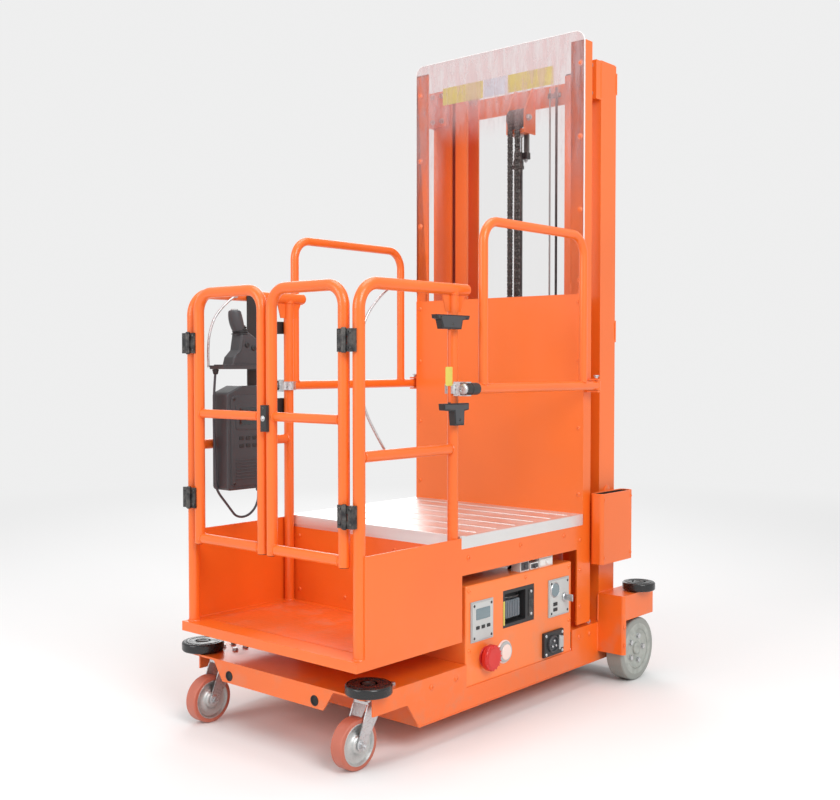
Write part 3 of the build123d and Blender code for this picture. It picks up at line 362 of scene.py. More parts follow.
@dataclass(frozen=True)
class ClearSheet:
    """Clear polycarbonate with painted reflection, streaked, near its top and sides, and a painted
    highlight along its cut edge.
    """

    # tints of the painted reflection (pink) and of the painted highlight on the cut edge (near
    # white)
    painted_reflection_tint: Colour = (0.66, 0.46, 0.46)
    painted_highlight_tint: Colour = (0.92, 0.90, 0.90)
    half: float = 0.396
    top: float = 2.355
    corner: float = 0.040

    def paint(self, graph: Graph) -> None:
        """Wire the finish; rim distance = length of (|x|, z) past the corner's centre.

        Args:
            graph: the material's graph.
        """
        slant = graph.add("ShaderNodeLayerWeight", {}, {"Blend": 0.5}, "Facing")
        across, high = graph.axis("X"), graph.axis("Z")
        wide = across.math("ABSOLUTE", across)
        past_side = wide.math("MAXIMUM", wide - (self.half - self.corner), 0.0)
        past_top = high.math("MAXIMUM", high - (self.top - self.corner), 0.0)
        # rim: a painted highlight, a band a few millimetres inside the outline of the sides, top
        # and corners
        rim = ((past_side * past_side
                + past_top * past_top) ** 0.5).ramp(self.corner - 0.0045, self.corner - 0.0012)
        # bloom: painted reflection, a streaked film mixed in over the top band and the upper sides
        streaks = graph.noise(7.0, 5.0, 0.62, (4.0, 1.0, 0.8)).ramp(0.34, 0.66)
        sides = wide.ramp(0.235, 0.345) * high.ramp(1.62, 2.08) * 0.75
        top_reflection = high.ramp(2.00, 2.21)
        bloom = top_reflection.math("MAXIMUM", top_reflection, sides) * (streaks * 0.30 + 0.20)
        share = bloom + slant ** 4.0 * 0.5 + 0.012
        share = share.math("MAXIMUM", share, rim * 0.85)
        # the film's colour turns from the painted reflection's tint to the painted highlight's on
        # the rim
        colour = graph.mix(rim, self.painted_reflection_tint, self.painted_highlight_tint)
        clear = graph.add("ShaderNodeBsdfTransparent", {}, {"Color": (0.97, 0.97, 0.97, 1.0)})
        film = graph.add("ShaderNodeBsdfPrincipled", {},
                         {"Base Color": colour, "Roughness": 0.10, "Specular IOR Level": 0.5})
        both = graph.add("ShaderNodeMixShader", {},
                         {0: share.math("MINIMUM", share, 0.92), 1: clear, 2: film})
        graph.add("ShaderNodeOutputMaterial", {}, {"Surface": both})


@dataclass(frozen=True)
class BareLabel:
    """A printed film with nothing on it: satin and a little grime."""

    base: Colour = (0.66, 0.56, 0.10)
    roughness: float = 0.38

    def paint(self, graph: Graph) -> None:
        """Wire the finish into a graph.

        Args:
            graph: the material's graph.
        """
        grime = graph.noise(26.0, 5.0, 0.65)
        colour = graph.mix(grime.ramp(0.52, 0.86, 0.0, 0.55), self.base, shade(self.base, 0.55))
        rough = grime.ramp(0.35, 0.75, self.roughness - 0.06, self.roughness + 0.16)
        graph.surface(base_color=colour, roughness=rough,
                      normal=graph.bump(graph.noise(320.0, 2.0), 0.00004, 0.5))


@dataclass(frozen=True)
class WheelPaint:
    """Pale wheel enamel with road film in patches."""

    base: Colour = (0.40, 0.42, 0.385)

    def paint(self, graph: Graph) -> None:
        """Wire the finish into a graph.

        Args:
            graph: the material's graph.
        """
        film = graph.noise(30.0, 5.0, 0.6)
        colour = graph.mix(film.ramp(0.40, 0.80), self.base, shade(self.base, 0.70))
        rough = film.ramp(0.3, 0.7, 0.34, 0.58)
        graph.surface(base_color=colour, roughness=rough,
                      normal=graph.bump(graph.noise(380.0, 3.0), 0.00005, 0.5))


@dataclass(frozen=True)
class DisplayGlass:
    """Display glass: glossy, near black unless a paler ground is given, with faint smears."""

    base: Colour = (0.012, 0.015, 0.018)

    def paint(self, graph: Graph) -> None:
        """Wire the finish into a graph.

        Args:
            graph: the material's graph.
        """
        smear = graph.noise(55.0, 4.0, 0.6, (1.0, 1.0, 3.0))
        colour = graph.mix(smear.ramp(0.5, 0.9, 0.0, 0.3), self.base, (0.06, 0.07, 0.08))
        rough = smear.ramp(0.4, 0.8, 0.06, 0.26)
        graph.surface(base_color=colour, roughness=rough, coat_weight=0.6, coat_roughness=0.05)


class Finish(Enum):
    """The truck's finishes: the material's name, how it is painted, and the record's slot."""

    BODY_ORANGE = ("body_orange", PowderCoat((0.86, 0.150, 0.013)), "orange_paint")
    CAGE_ORANGE = ("cage_orange", PowderCoat((0.87, 0.153, 0.014), peel=0.00009, dust=0.10),
                   "frame_orange")
    # a lighter copy of the body's orange for the power unit's cover: painted light, lifting the
    # recessed cover that the lamps leave darker
    COVER_ORANGE_PAINTED_LIGHT = ("cover_orange_painted_light", PowderCoat((0.95, 0.205, 0.032)), "orange_paint")
    FLOOR_ORANGE = ("floor_orange", PowderCoat((0.80, 0.128, 0.016), 0.46, 0.00020, 0.5),
                    "frame_orange")
    BLACK_PLASTIC = ("black_plastic", MouldedPlastic(), "black_plastic")
    CONSOLE_PLASTIC = ("console_plastic", MouldedPlastic((0.052, 0.054, 0.060), 0.42),
                       "black_plastic")
    BEZEL_PLASTIC = ("bezel_plastic", MouldedPlastic((0.50, 0.51, 0.50), 0.40, 0.00006, 1200.0),
                     "grey_plastic")
    GREY_PLASTIC = ("grey_plastic", MouldedPlastic((0.42, 0.44, 0.44), 0.42), "grey_plastic")
    RED_PLASTIC = ("red_plastic", MouldedPlastic((0.62, 0.020, 0.015), 0.30, 0.00003),
                   "red_plastic")
    WHITE_PLASTIC = ("white_plastic", MouldedPlastic((0.74, 0.74, 0.72), 0.36, 0.00005),
                     "grey_plastic")
    PLUG_PLASTIC = ("plug_plastic", MouldedPlastic((0.13, 0.15, 0.17), 0.40, 0.00006),
                    "black_plastic")
    LENS = ("button_lens", MouldedPlastic((0.85, 0.66, 0.60), 0.22, 0.00002, 300.0), "grey_plastic")
    ROLLER_RUBBER = ("roller_rubber", Rubber((0.012, 0.012, 0.013), 0.17, (0.04, 0.04, 0.04)),
                     "black_plastic")
    CABLE_JACKET = ("cable_jacket", Rubber((0.060, 0.064, 0.075), 0.40, (0.12, 0.12, 0.13)),
                    "black_plastic")
    HOSE = ("hose_rubber", Rubber((0.018, 0.018, 0.020), 0.48, (0.06, 0.06, 0.06)), "black_plastic")
    # near-black rubber that paints shade: cups in the cross plate's holes and a sheet inside the
    # document box; also the holes' turned rims
    PAINTED_SHADE_BLACK = ("painted_shade_black", Rubber((0.010, 0.010, 0.010), 0.60, (0.03, 0.03, 0.03)),
             "black_plastic")
    CASTER_TREAD = ("caster_tread", Rubber((0.50, 0.135, 0.085), 0.30, (0.62, 0.26, 0.19)),
                    "caster_tread")
    DRIVE_TREAD = ("drive_tread", Rubber((0.30, 0.31, 0.285), 0.55, (0.40, 0.41, 0.38)),
                   "drive_tread")
    ZINC = ("zinc", PlatedSteel(), "zinc")
    CAST_HUB = ("cast_hub", PlatedSteel((0.56, 0.57, 0.56), 0.40, spangle=0.3), "caster_core")
    WHEEL_GREY = ("wheel_grey", WheelPaint(), "caster_core")
    ROD_STEEL = ("rod_steel", PlatedSteel((0.75, 0.76, 0.78), 0.15, (1.0, 1.0, 0.02), 0.1),
                 "bright_steel")
    CHAIN = ("chain_steel", PlatedSteel((0.20, 0.19, 0.18), 0.34, spangle=0.1), "dark_steel")
    DARK_STEEL = ("dark_steel", DarkSteel(), "dark_steel")
    DECK_SHEET = ("deck_sheet", BrushedSheet(), "deck_sheet")
    CLEAR_SHEET = ("clear_sheet", ClearSheet(), "clear_sheet")
    LABEL_YELLOW = ("label_yellow", BareLabel(), "black_plastic")
    LABEL_PALE = ("label_pale", BareLabel((0.62, 0.68, 0.76)), "clear_sheet")
    DISPLAY = ("display_glass", DisplayGlass(), "black_plastic")
    GAUGE_GLASS = ("gauge_glass", DisplayGlass((0.16, 0.225, 0.250)), "grey_plastic")

    def material(self) -> bpy.types.Material:
        """Make the material once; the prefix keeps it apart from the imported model's own.

        Returns:
            The material.
        """
        label, finish, _ = self.value
        name = f"finish_{label}"
        found = bpy.data.materials.get(name)
        if found is None:
            found = bpy.data.materials.new(name)
            finish.paint(Graph(found))
        return found

    @property
    def slot(self) -> str:
        """The record's material slot."""
        return self.value[2]


NODE_FINISHES: dict[Finish, tuple[str, ...]] = {
    # the cover takes the lighter orange that paints light on it
    Finish.BODY_ORANGE: ("base_frame", "wheel_housings", "outer_mast", "document_box",
                         "inner_mast"), Finish.COVER_ORANGE_PAINTED_LIGHT: ("base_cover",), Finish.CAGE_ORANGE: (
    "cage_tray", "carriage", "back_panel", "deck_frame", "guards", "gate_leaf_left",
    "gate_leaf_right", "side_rail_left", "side_rail_right", "rail_hangers"),
    Finish.BLACK_PLASTIC: ("catch_knobs", "gate_bolt", "power_sockets", "battery_block",
                           "console_strap"), Finish.CONSOLE_PLASTIC: ("console_box", "joystick"),
    Finish.GREY_PLASTIC: ("gauge_plates", "lowering_button"), Finish.WHITE_PLASTIC: ("slot_plugs",),
    Finish.RED_PLASTIC: ("stop_button",),
    Finish.ROLLER_RUBBER: ("bumper_front_left", "bumper_front_right", "bumper_rear_left",
                           "bumper_rear_right"), Finish.CABLE_JACKET: ("console_cable",),
    Finish.CASTER_TREAD: ("caster_tyre_left", "caster_tyre_right"),
    Finish.DRIVE_TREAD: ("drive_tyre_left", "drive_tyre_right"),
    Finish.CAST_HUB: ("caster_hub_left", "caster_hub_right"),
    Finish.WHEEL_GREY: ("drive_hub_left", "drive_hub_right"),
    Finish.ZINC: ("caster_fork_left", "caster_fork_right", "rail_catches", "stay_cables"),
    Finish.ROD_STEEL: ("lift_rod",),
    Finish.DARK_STEEL: ("hinges_fixed", "hinge_moving_left", "hinge_moving_right", "lift_cylinder",
                        "mast_rollers", "carriage_rollers", "chain_sheaves", "chain_front_run",
                        "chain_turn", "chain_rear_run", "pump_block", "drive_motors"),
    Finish.DECK_SHEET: ("load_deck",), Finish.CLEAR_SHEET: ("clear_screen",),}


# ---------------------------------------------------------------- surface tools


class Facing(Enum):
    """Which way a shape's outer side looks: its directions across, up and out."""

    RIGHT = ((0, 1, 0), (0, 0, 1), (1, 0, 0))
    LEFT = ((0, -1, 0), (0, 0, 1), (-1, 0, 0))
    FRONT = ((1, 0, 0), (0, 0, 1), (0, -1, 0))
    BACK = ((-1, 0, 0), (0, 0, 1), (0, 1, 0))
    UP = ((1, 0, 0), (0, 1, 0), (0, 0, 1))
    DOWN = ((1, 0, 0), (0, -1, 0), (0, 0, -1))


def outward(side: float) -> Facing:
    """The facing away from the truck's middle on a side, which is -1 or 1."""
    return Facing.RIGHT if side > 0 else Facing.LEFT


@dataclass
class Patch:
    """Points and the faces between them, before they become a mesh."""

    points: np.ndarray
    corners: np.ndarray
    sizes: np.ndarray

    def __add__(self, other: "Patch") -> "Patch":
        """Both shapes as one."""
        return joined([self, other])

    def at(self, centre: Vec, facing: Facing = Facing.UP) -> "Patch":
        """Lay the shape's across, up and out along a facing, then move its origin to a point."""
        return Patch(self.points @ np.array(facing.value, float) + np.array(centre), self.corners,
                     self.sizes)

    def moved(self, x: float = 0.0, y: float = 0.0) -> "Patch":
        """Shift the shape."""
        return Patch(self.points + np.array((x, y, 0.0)), self.corners, self.sizes)

    def spun(self, degrees: float) -> "Patch":
        """Turn the shape about its own out direction.

        Args:
            degrees: how far, from its across direction towards its up direction.

        Returns:
            The turned shape.
        """
        turn = math.radians(degrees)
        about = np.array([[math.cos(turn), math.sin(turn), 0], [-math.sin(turn), math.cos(turn), 0],
                          [0, 0, 1]])
        return Patch(self.points @ about, self.corners, self.sizes)


def joined(patches: Iterable[Patch]) -> Patch:
    """Put several shapes into one.

    Args:
        patches: the shapes.

    Returns:
        One shape that holds them all, each still separate.
    """
    parts = list(patches)
    starts = np.cumsum([0] + [len(part.points) for part in parts[:-1]])
    return Patch(
        np.vstack([part.points for part in parts]),
        np.concatenate([part.corners + start for part, start in zip(parts, starts)]),
        np.concatenate([part.sizes for part in parts]),
    )


def grid(points: np.ndarray, around: bool = True, along: bool = False, caps: bool = True) -> Patch:
    """Join points (row, column, xyz) of a two-parameter surface by quads.

    Args:
        points: the surface at each step of its two parameters.
        around: the last column joins the first.
        along: the last row joins the first.
        caps: the first and last rows are filled, so that the surface is closed.

    Returns:
        The surface.
    """
    rows, columns = points.shape[:2]
    index = np.arange(rows * columns).reshape(rows, columns)
    first, last = index[0][::-1].copy(), index[-1].copy()
    if around:
        index = np.concatenate([index, index[:, :1]], axis=1)
    if along:
        index = np.concatenate([index, index[:1]], axis=0)
    quads = np.stack([index[:-1, :-1], index[:-1, 1:], index[1:, 1:], index[1:, :-1]],
                     axis=-1).reshape(-1)
    sizes = np.full(len(quads) // 4, 4)
    if caps and not along:
        quads = np.concatenate([quads, first, last])
        sizes = np.concatenate([sizes, [columns, columns]])
    return Patch(points.reshape(-1, 3).astype(float), quads, sizes)


def lathe(profile: Sequence[tuple[float, float]], sides: int = 28) -> Patch:
    """Turn a profile: across = radius x cos a, up = radius x sin a, out = height.

    Args:
        profile: pairs of radius and height, from the back to the front.
        sides: steps of the angle.

    Returns:
        The closed turned shape.
    """
    radius, height = np.array(profile, float).T
    angle = np.linspace(0.0, math.tau, sides, endpoint=False)
    ring = np.stack([np.cos(angle), np.sin(angle)], axis=-1)
    flat = radius[:, None, None] * ring[None]
    return grid(np.concatenate([flat, np.broadcast_to(height[:, None, None],
                                                      (len(radius), sides, 1))], axis=-1))


def fillet_profile(outer: float, low: float, high: float, edge: float) -> list:
    """A disc's profile for a lathe, its front edge a quarter circle: outer - edge + edge x cos a.

    Args:
        outer: the disc's radius.
        low: its back.
        high: its front.
        edge: the quarter circle's radius.

    Returns:
        The profile's pairs of radius and height.
    """
    turn = np.linspace(0.0, math.pi / 2, 5)
    arc = [(outer - edge + edge * math.cos(a), high - edge + edge * math.sin(a)) for a in turn]
    return [(outer, low), *arc, (TIP, high)]


def rounded(half_across: float, half_up: float, radius: float, steps: int = 5) -> np.ndarray:
    """Outline of a rectangle whose corners are quarter circles about their own centres.

    Args:
        half_across: half the width.
        half_up: half the height.
        radius: the corners' radius.
        steps: points of each corner.

    Returns:
        The outline's points (n, 2), anticlockwise.
    """
    turn = np.linspace(0.0, math.pi / 2, steps)
    centres = ((1, 1, 0), (-1, 1, 1), (-1, -1, 2), (1, -1, 3))
    corners = [
        np.stack([a * (half_across - radius) + radius * np.cos(turn + q * math.pi / 2),
                  b * (half_up - radius) + radius * np.sin(turn + q * math.pi / 2)], axis=-1)
        for a, b, q in centres
    ]
    return np.concatenate(corners)


def inset(outline: np.ndarray, depth: float) -> np.ndarray:
    """Move each point of an anticlockwise outline inwards, along the line that halves its corner.

    Args:
        outline: the points (n, 2).
        depth: how far each side moves in.

    Returns:
        The smaller outline.
    """
    before = outline - np.roll(outline, 1, axis=0)
    after = np.roll(outline, -1, axis=0) - outline
    unit = [side / np.maximum(np.linalg.norm(side, axis=1, keepdims=True), 1e-9)
            for side in (before, after)]
    normal = [np.stack([-side[:, 1], side[:, 0]], axis=-1) for side in unit]
    halfway = normal[0] + normal[1]
    length = np.maximum(np.sum(halfway * normal[0], axis=1, keepdims=True), 0.3)
    return outline + halfway / length * depth


def plate(outline: Sequence, low: float, high: float, edge: float = 0.001,
          both: bool = False) -> Patch:
    """Raise an outline into a plate whose rim is rounded in three steps of a quarter circle.

    Args:
        outline: anticlockwise points across and up.
        low: the plate's back.
        high: its front.
        edge: the rim's radius.
        both: the back's rim is rounded too.

    Returns:
        The closed plate.
    """
    base = np.array(outline, float)
    turn = np.linspace(0.0, math.pi / 2, 4)
    steps = [(edge * (1 - math.cos(a)), high - edge + edge * math.sin(a)) for a in turn]
    back = [(depth, low + high - height)
            for depth, height in reversed(steps)] if both else [(0.0, low)]
    rows = [np.column_stack([inset(base, depth), np.full(len(base), height)])
            for depth, height in back + steps]
    return grid(np.array(rows))


def tube(path: Sequence[Vec], radius: Any, reference: Vec = (0.0, 0.0, 1.0), sides: int = 12,
         closed: bool = False) -> Patch:
    """Carry a circle along a path: point = path + r x (cos a x side + sin a x rise).

    Args:
        path: the middle line's points.
        radius: one radius, or one for each point.
        reference: a direction that the path never follows.
        sides: steps of the angle.
        closed: the path's end joins its start.

    Returns:
        The closed tube.
    """
    line = np.array(path, float)
    if closed:
        along = np.roll(line, -1, axis=0) - np.roll(line, 1, axis=0)
    else:
        along = np.gradient(line, axis=0)
    along /= np.linalg.norm(along, axis=1, keepdims=True)
    side = np.cross(along, np.array(reference, float))
    side /= np.linalg.norm(side, axis=1, keepdims=True)
    rise = np.cross(side, along)
    angle = np.linspace(0.0, math.tau, sides, endpoint=False)
    wide = np.broadcast_to(np.asarray(radius, float).reshape(-1, 1, 1), (len(line), 1, 1))
    ring = np.cos(angle)[None, :,
                         None] * side[:, None] + np.sin(angle)[None, :, None] * rise[:, None]
    return grid(line[:, None] + wide * ring, along=closed)


def bead(path: Sequence[Vec], radius: float, reference: Vec = (0.0, 0.0, 1.0),
         closed: bool = False) -> Patch:
    """A weld's bead: a tube of radius r x (0.86 + 0.14 x |cos(pi s / ripple)|) at the distance s.

    Args:
        path: the seam's corner points, or the whole ring's points.
        radius: the bead's radius.
        reference: a direction that the seam never follows.
        closed: the seam is a ring.

    Returns:
        The bead.
    """
    line = np.array(path, float)
    if closed:
        line = np.vstack([line, line[:1]])
    reach = np.concatenate([[0.0], np.cumsum(np.linalg.norm(np.diff(line, axis=0), axis=1))])
    count = min(260, max(6, int(reach[-1] / RIPPLE * 2.5)))
    place = np.linspace(0.0, reach[-1], count, endpoint=not closed)
    fine = np.column_stack([np.interp(place, reach, line[:, k]) for k in range(3)])
    swell = 0.86 + 0.14 * np.abs(np.cos(math.pi * place / RIPPLE))
    if not closed:
        swell *= np.clip(np.minimum(place, reach[-1] - place) / (2 * radius), 0.35, 1.0)
    return tube(fine, radius * swell, reference, 6, closed)


def ring_path(centre: Vec, radius: float, facing: Facing, count: int = 40) -> np.ndarray:
    """Points of a circle square to a facing: centre + r x (cos a x across + sin a x up).

    Args:
        centre: the circle's centre.
        radius: its radius.
        facing: the direction that it faces.
        count: how many points it has.

    Returns:
        The points, one in each row.
    """
    angle = np.linspace(0.0, math.tau, count, endpoint=False)
    flat = np.column_stack([radius * np.cos(angle), radius * np.sin(angle), np.zeros(count)])
    return flat @ np.array(facing.value, float) + np.array(centre)


def collar(centre: Vec, radius: float, wire: float, facing: Facing) -> Patch:
    """A weld's ring round a tube or boss."""
    across, _, out = (np.array(part, float) for part in facing.value)
    return bead(ring_path(centre, radius, facing), wire, tuple(out + 0.001 * across), closed=True)


class Head(Enum):
    """Kinds of fastener."""

    HEX = "hexagon head on a washer"
    NUT = "nut with the thread's end"
    DOME = "domed head with a hexagon socket"
    SOCKET = "cylinder head with a hexagon socket"
    SCREW = "low domed screw"


def hexagon_row(flat: float, height: float, cap: float) -> np.ndarray:
    """A hexagon's ring: radius = flat / cos(angle from the nearest flat's middle).

    Args:
        flat: distance from the middle to a flat.
        height: the ring's height.
        cap: the most that the radius may be, in flat distances.

    Returns:
        The ring's points.
    """
    angle = np.linspace(0.0, math.tau, HEAD_SIDES, endpoint=False)
    near = (angle + math.pi / 6) % (math.pi / 3) - math.pi / 6
    radius = np.minimum(flat / np.cos(near), flat * cap)
    return np.column_stack([radius * np.cos(angle), radius * np.sin(angle),
                            np.full(HEAD_SIDES, height)])


def round_row(radius: float, height: float) -> np.ndarray:
    """A circle's ring at a height."""
    return hexagon_row(radius, height, 1.0)


def fastener(head: Head, thread: float) -> Patch:
    """One fastener that stands on its own origin.

    Args:
        head: its kind.
        thread: its thread's diameter.

    Returns:
        The fastener, whose out direction is its axis.
    """
    d = thread
    if head is Head.HEX:
        rows = [round_row(1.05 * d, -0.02 * d), round_row(1.05 * d, 0.16 * d), round_row(
            0.86 * d, 0.17 * d), hexagon_row(0.82 * d, 0.18 * d, cap=1.155), hexagon_row(
            0.82 * d, 0.70 * d, cap=1.155), hexagon_row(0.82 * d, 0.80 * d, cap=1.05),
                round_row(0.70 * d, 0.84 * d), round_row(0.5 * d, 0.80 * d)]
    elif head is Head.NUT:
        rows = [round_row(1.05 * d, -0.02 * d), round_row(1.05 * d, 0.16 * d), hexagon_row(
            0.82 * d, 0.17 * d, cap=1.155), hexagon_row(0.82 * d, 0.90 * d, cap=1.155),
                hexagon_row(0.82 * d, 1.0 * d, cap=1.03), round_row(0.52 * d, 1.0 * d), round_row(
            0.48 * d, 1.02 * d), round_row(0.48 * d, 1.34 * d), round_row(0.38 * d, 1.42 * d)]
    elif head is Head.DOME:
        turn = np.linspace(0.15, 1.15, 4)
        rows = [round_row(0.98 * d, -0.02 * d)]
        rows += [round_row(1.0 * d * math.cos(a), 0.56 * d * math.sin(a)) for a in turn]
        rows += [hexagon_row(0.30 * d, 0.515 * d, cap=1.155),
                 hexagon_row(0.28 * d, 0.22 * d, cap=1.155)]
    elif head is Head.SOCKET:
        rows = [round_row(0.75 * d, -0.02 * d), round_row(0.75 * d, 0.90 * d),
                round_row(0.68 * d, 0.98 * d), hexagon_row(0.42 * d, 0.98 * d, cap=1.155),
                hexagon_row(0.40 * d, 0.45 * d, cap=1.155)]
    else:
        rows = [round_row(0.95 * d, -0.02 * d), round_row(0.95 * d, 0.12 * d), round_row(
            0.80 * d, 0.30 * d), round_row(0.45 * d, 0.40 * d), round_row(0.10 * d, 0.42 * d)]
    return grid(np.array(rows))


def bolts(head: Head, thread: float, places: Iterable[Vec], facing: Facing) -> Patch:
    """Fasteners of one kind, each turned a little further than the last."""
    one = fastener(head, thread)
    return joined([one.spun(TWIST * number).at(place, facing)
                   for number, place in enumerate(places)])


def make_piece(name: str, patches: Iterable[Patch], finish: Finish, body: str,
               slot: str = "") -> bpy.types.Object:
    """Turn shapes into one piece of the truck.

    Args:
        name: the piece's name.
        patches: its shapes, in the model's frame.
        finish: its finish.
        body: the CAD body that it rides on, or nothing for a piece attached to none.
        slot: the record's material slot that it belongs to, or nothing for the finish's own; not
            used.

    Returns:
        The piece.
    """
    slot = slot or finish.slot
    whole = joined(patches)
    mesh = bpy.data.meshes.new(name)
    mesh.vertices.add(len(whole.points))
    mesh.vertices.foreach_set("co", whole.points.astype(np.float32).ravel())
    mesh.loops.add(len(whole.corners))
    mesh.loops.foreach_set("vertex_index", whole.corners.astype(np.int32))
    mesh.polygons.add(len(whole.sizes))
    mesh.polygons.foreach_set("loop_start",
                              np.concatenate([[0], np.cumsum(whole.sizes)[:-1]]).astype(np.int32))
    mesh.update(calc_edges=True)
    mesh.validate()
    shell = bmesh.new()
    shell.from_mesh(mesh)
    bmesh.ops.recalc_face_normals(shell, faces=shell.faces)
    shell.to_mesh(mesh)
    shell.free()
    mesh.shade_smooth()
    mesh.set_sharp_from_angle(angle=math.radians(CREASE))
    mesh.materials.append(finish.material())
    piece = bpy.data.objects.new(name, mesh)
    bpy.context.scene.collection.objects.link(piece)
    if body:
        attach(piece, body)
    LOG.info("%s: %d faces on %s", name, len(mesh.polygons), body)
    return piece


# ---------------------------------------------------------------- mast


@dataclass
class Mast:
    """Fixed and moving mast: welds, bolts, lift cylinder fittings, chains and conduits."""

    half: float = 0.396
    flange: float = 0.092
    front: float = 0.530
    back: float = 0.634
    foot: float = 0.222
    top: float = 2.264
    tie_t: float = 0.008
    ties: tuple = ((0.222, 0.330), (1.250, 1.330), (2.162, 2.240))
    inner_half: float = 0.292
    inner_flange: float = 0.060
    inner_back: float = 0.622
    inner_tie_back: float = 0.628
    inner_ties: tuple = ((0.250, 0.320), (1.180, 1.240), (2.158, 2.236))
    cylinder_y: float = 0.570
    barrel_r: float = 0.017
    barrel_top: float = 1.990
    rod_head: float = 2.060
    sheave_z: float = 2.120
    yoke_x: float = 0.044
    strands: tuple = (-0.017, 0.017)
    chain_r: float = 0.031
    chain_t: float = 0.011
    chain_half: float = 0.011
    chain_foot: float = 0.6253
    pitch: float = 0.0127
    leaf_t: float = 0.0021
    leaf_edge: float = 0.0003
    outer_leaves: tuple = (-0.0102, -0.0032, 0.0011, 0.0081)
    inner_leaves: tuple = (-0.0077, -0.00215, 0.0056)
    conduit_x: tuple = (0.118, 0.148)
    conduit_z: tuple = (0.262, 0.9, 1.5, 2.225)
    clip_z: tuple = (0.285, 1.210, 2.197)
    bolt_x: tuple = (0.326, 0.372)
    tie_bolt_z: tuple = (1.290, 2.201)
    bracket_y: float = 0.497
    bracket_z: tuple = (2.146, 2.246)
    boss_z: tuple = (0.300, 0.700)
    band_z: tuple = (0.300, 1.281)
    stay_z: tuple = (0.309, 1.290)
    port_z: float = 0.262
    channel_y: float = 0.582
    gland_z: float = 1.925
    moving_bolt_x: float = 0.262
    moving_bolt_z: tuple = (1.210, 2.197)
    rear_rows: int = 21
    anchor_z: tuple = (0.600, 1.965)
    anchor_nut: float = 0.0085

    def build(self) -> None:
        """Make every piece of the mast."""
        self._welds()
        self._fasteners()
        self._cylinder_fittings()
        self._front_chain()
        self._turn()
        self._rear_chain()
        self._anchors()
        self._conduits()
        self._caps()

    def _welds(self) -> None:
        """Beads along the ties, round the feet, down the head brackets and at the yoke."""
        seams = []
        rear, foot = self.back + 0.001, self.foot + 0.001
        for side in BOTH:
            outer, inner = side * self.half, side * (self.half - self.flange)
            for low, high in self.ties:
                for z in (low, high):
                    if z > self.foot:
                        seams.append(bead([(outer * 0.995, rear, z), (inner, rear, z)], 0.0032,
                                          (0, 1, 0)))
                seams.append(bead([(outer, rear, low + 0.004), (outer, rear, high - 0.004)], 0.0030,
                                  (0, 1, 0)))
            seams.append(bead([(outer, self.front + 0.002, foot), (outer, self.back, foot)], 0.0036,
                              (0, 0, 1)))
            seams.append(bead([(outer, self.front, foot), (inner, self.front, foot)], 0.0036,
                              (0, 0, 1)))
            seams.append(bead([(outer, self.front, 2.130), (outer, self.front, self.top - 0.004)],
                              0.0026, (1, 0, 0)))
        make_piece("outer_mast_welds", seams, Finish.BODY_ORANGE, "chassis")
        seams = []
        rear, head = self.inner_back + 0.0005, self.rod_head + 0.016
        for side in BOTH:
            outer, inner = side * self.inner_half, side * (self.inner_half - self.inner_flange)
            for z in (height for tie in self.inner_ties for height in tie):
                seams.append(bead([(outer, rear, z), (inner, rear, z)], 0.0028, (0, 1, 0)))
            yoke = (side * self.yoke_x, 0.6195)
            seams.append(bead([(*yoke, 2.162), (*yoke, 2.232)], 0.0026, (1, 0, 0)))
            seams.append(bead([(side * 0.0375, 0.552, head), (side * 0.0375, 0.588, head)], 0.0024,
                              (0, 0, 1)))
        make_piece("inner_mast_welds", seams, Finish.BODY_ORANGE, "mast_stage")

    def _fasteners(self) -> None:
        """Bolts through the upper ties, the head brackets and the sheave pin's ends."""
        holes = [(side * x, self.back + self.tie_t, z) for side in BOTH for x in self.bolt_x
                 for z in self.tie_bolt_z]
        heads = [(side * x, self.bracket_y, z) for side in BOTH for x in self.bolt_x
                 for z in self.bracket_z]
        pins = [(side * self.half, (self.front + self.back) / 2, z) for side in BOTH
                for z in self.boss_z]
        disc = lathe([(0.020, -0.001), (0.020, 0.003), (0.017, 0.005), (0.0005, 0.005)])
        boss = [disc.at(place, outward(place[0])) for place in pins]
        make_piece("mast_bolts",
                   [bolts(Head.HEX, 0.012, holes, Facing.BACK),
                    bolts(Head.HEX, 0.010, heads, Facing.FRONT)], Finish.ZINC, "chassis")
        make_piece("mast_bosses", boss, Finish.BODY_ORANGE, "chassis")
        ends = [bolts(Head.NUT, 0.012, [(self.yoke_x, self.cylinder_y, self.sheave_z)],
                      Facing.RIGHT), bolts(Head.HEX, 0.012, [(-self.yoke_x, self.cylinder_y,
                                                              self.sheave_z)], Facing.LEFT)]
        tie = [(side * self.moving_bolt_x, self.inner_tie_back, z) for side in BOTH
               for z in self.moving_bolt_z]
        make_piece("moving_mast_bolts", [*ends, bolts(Head.HEX, 0.010, tie, Facing.BACK)],
                   Finish.ZINC, "mast_stage")

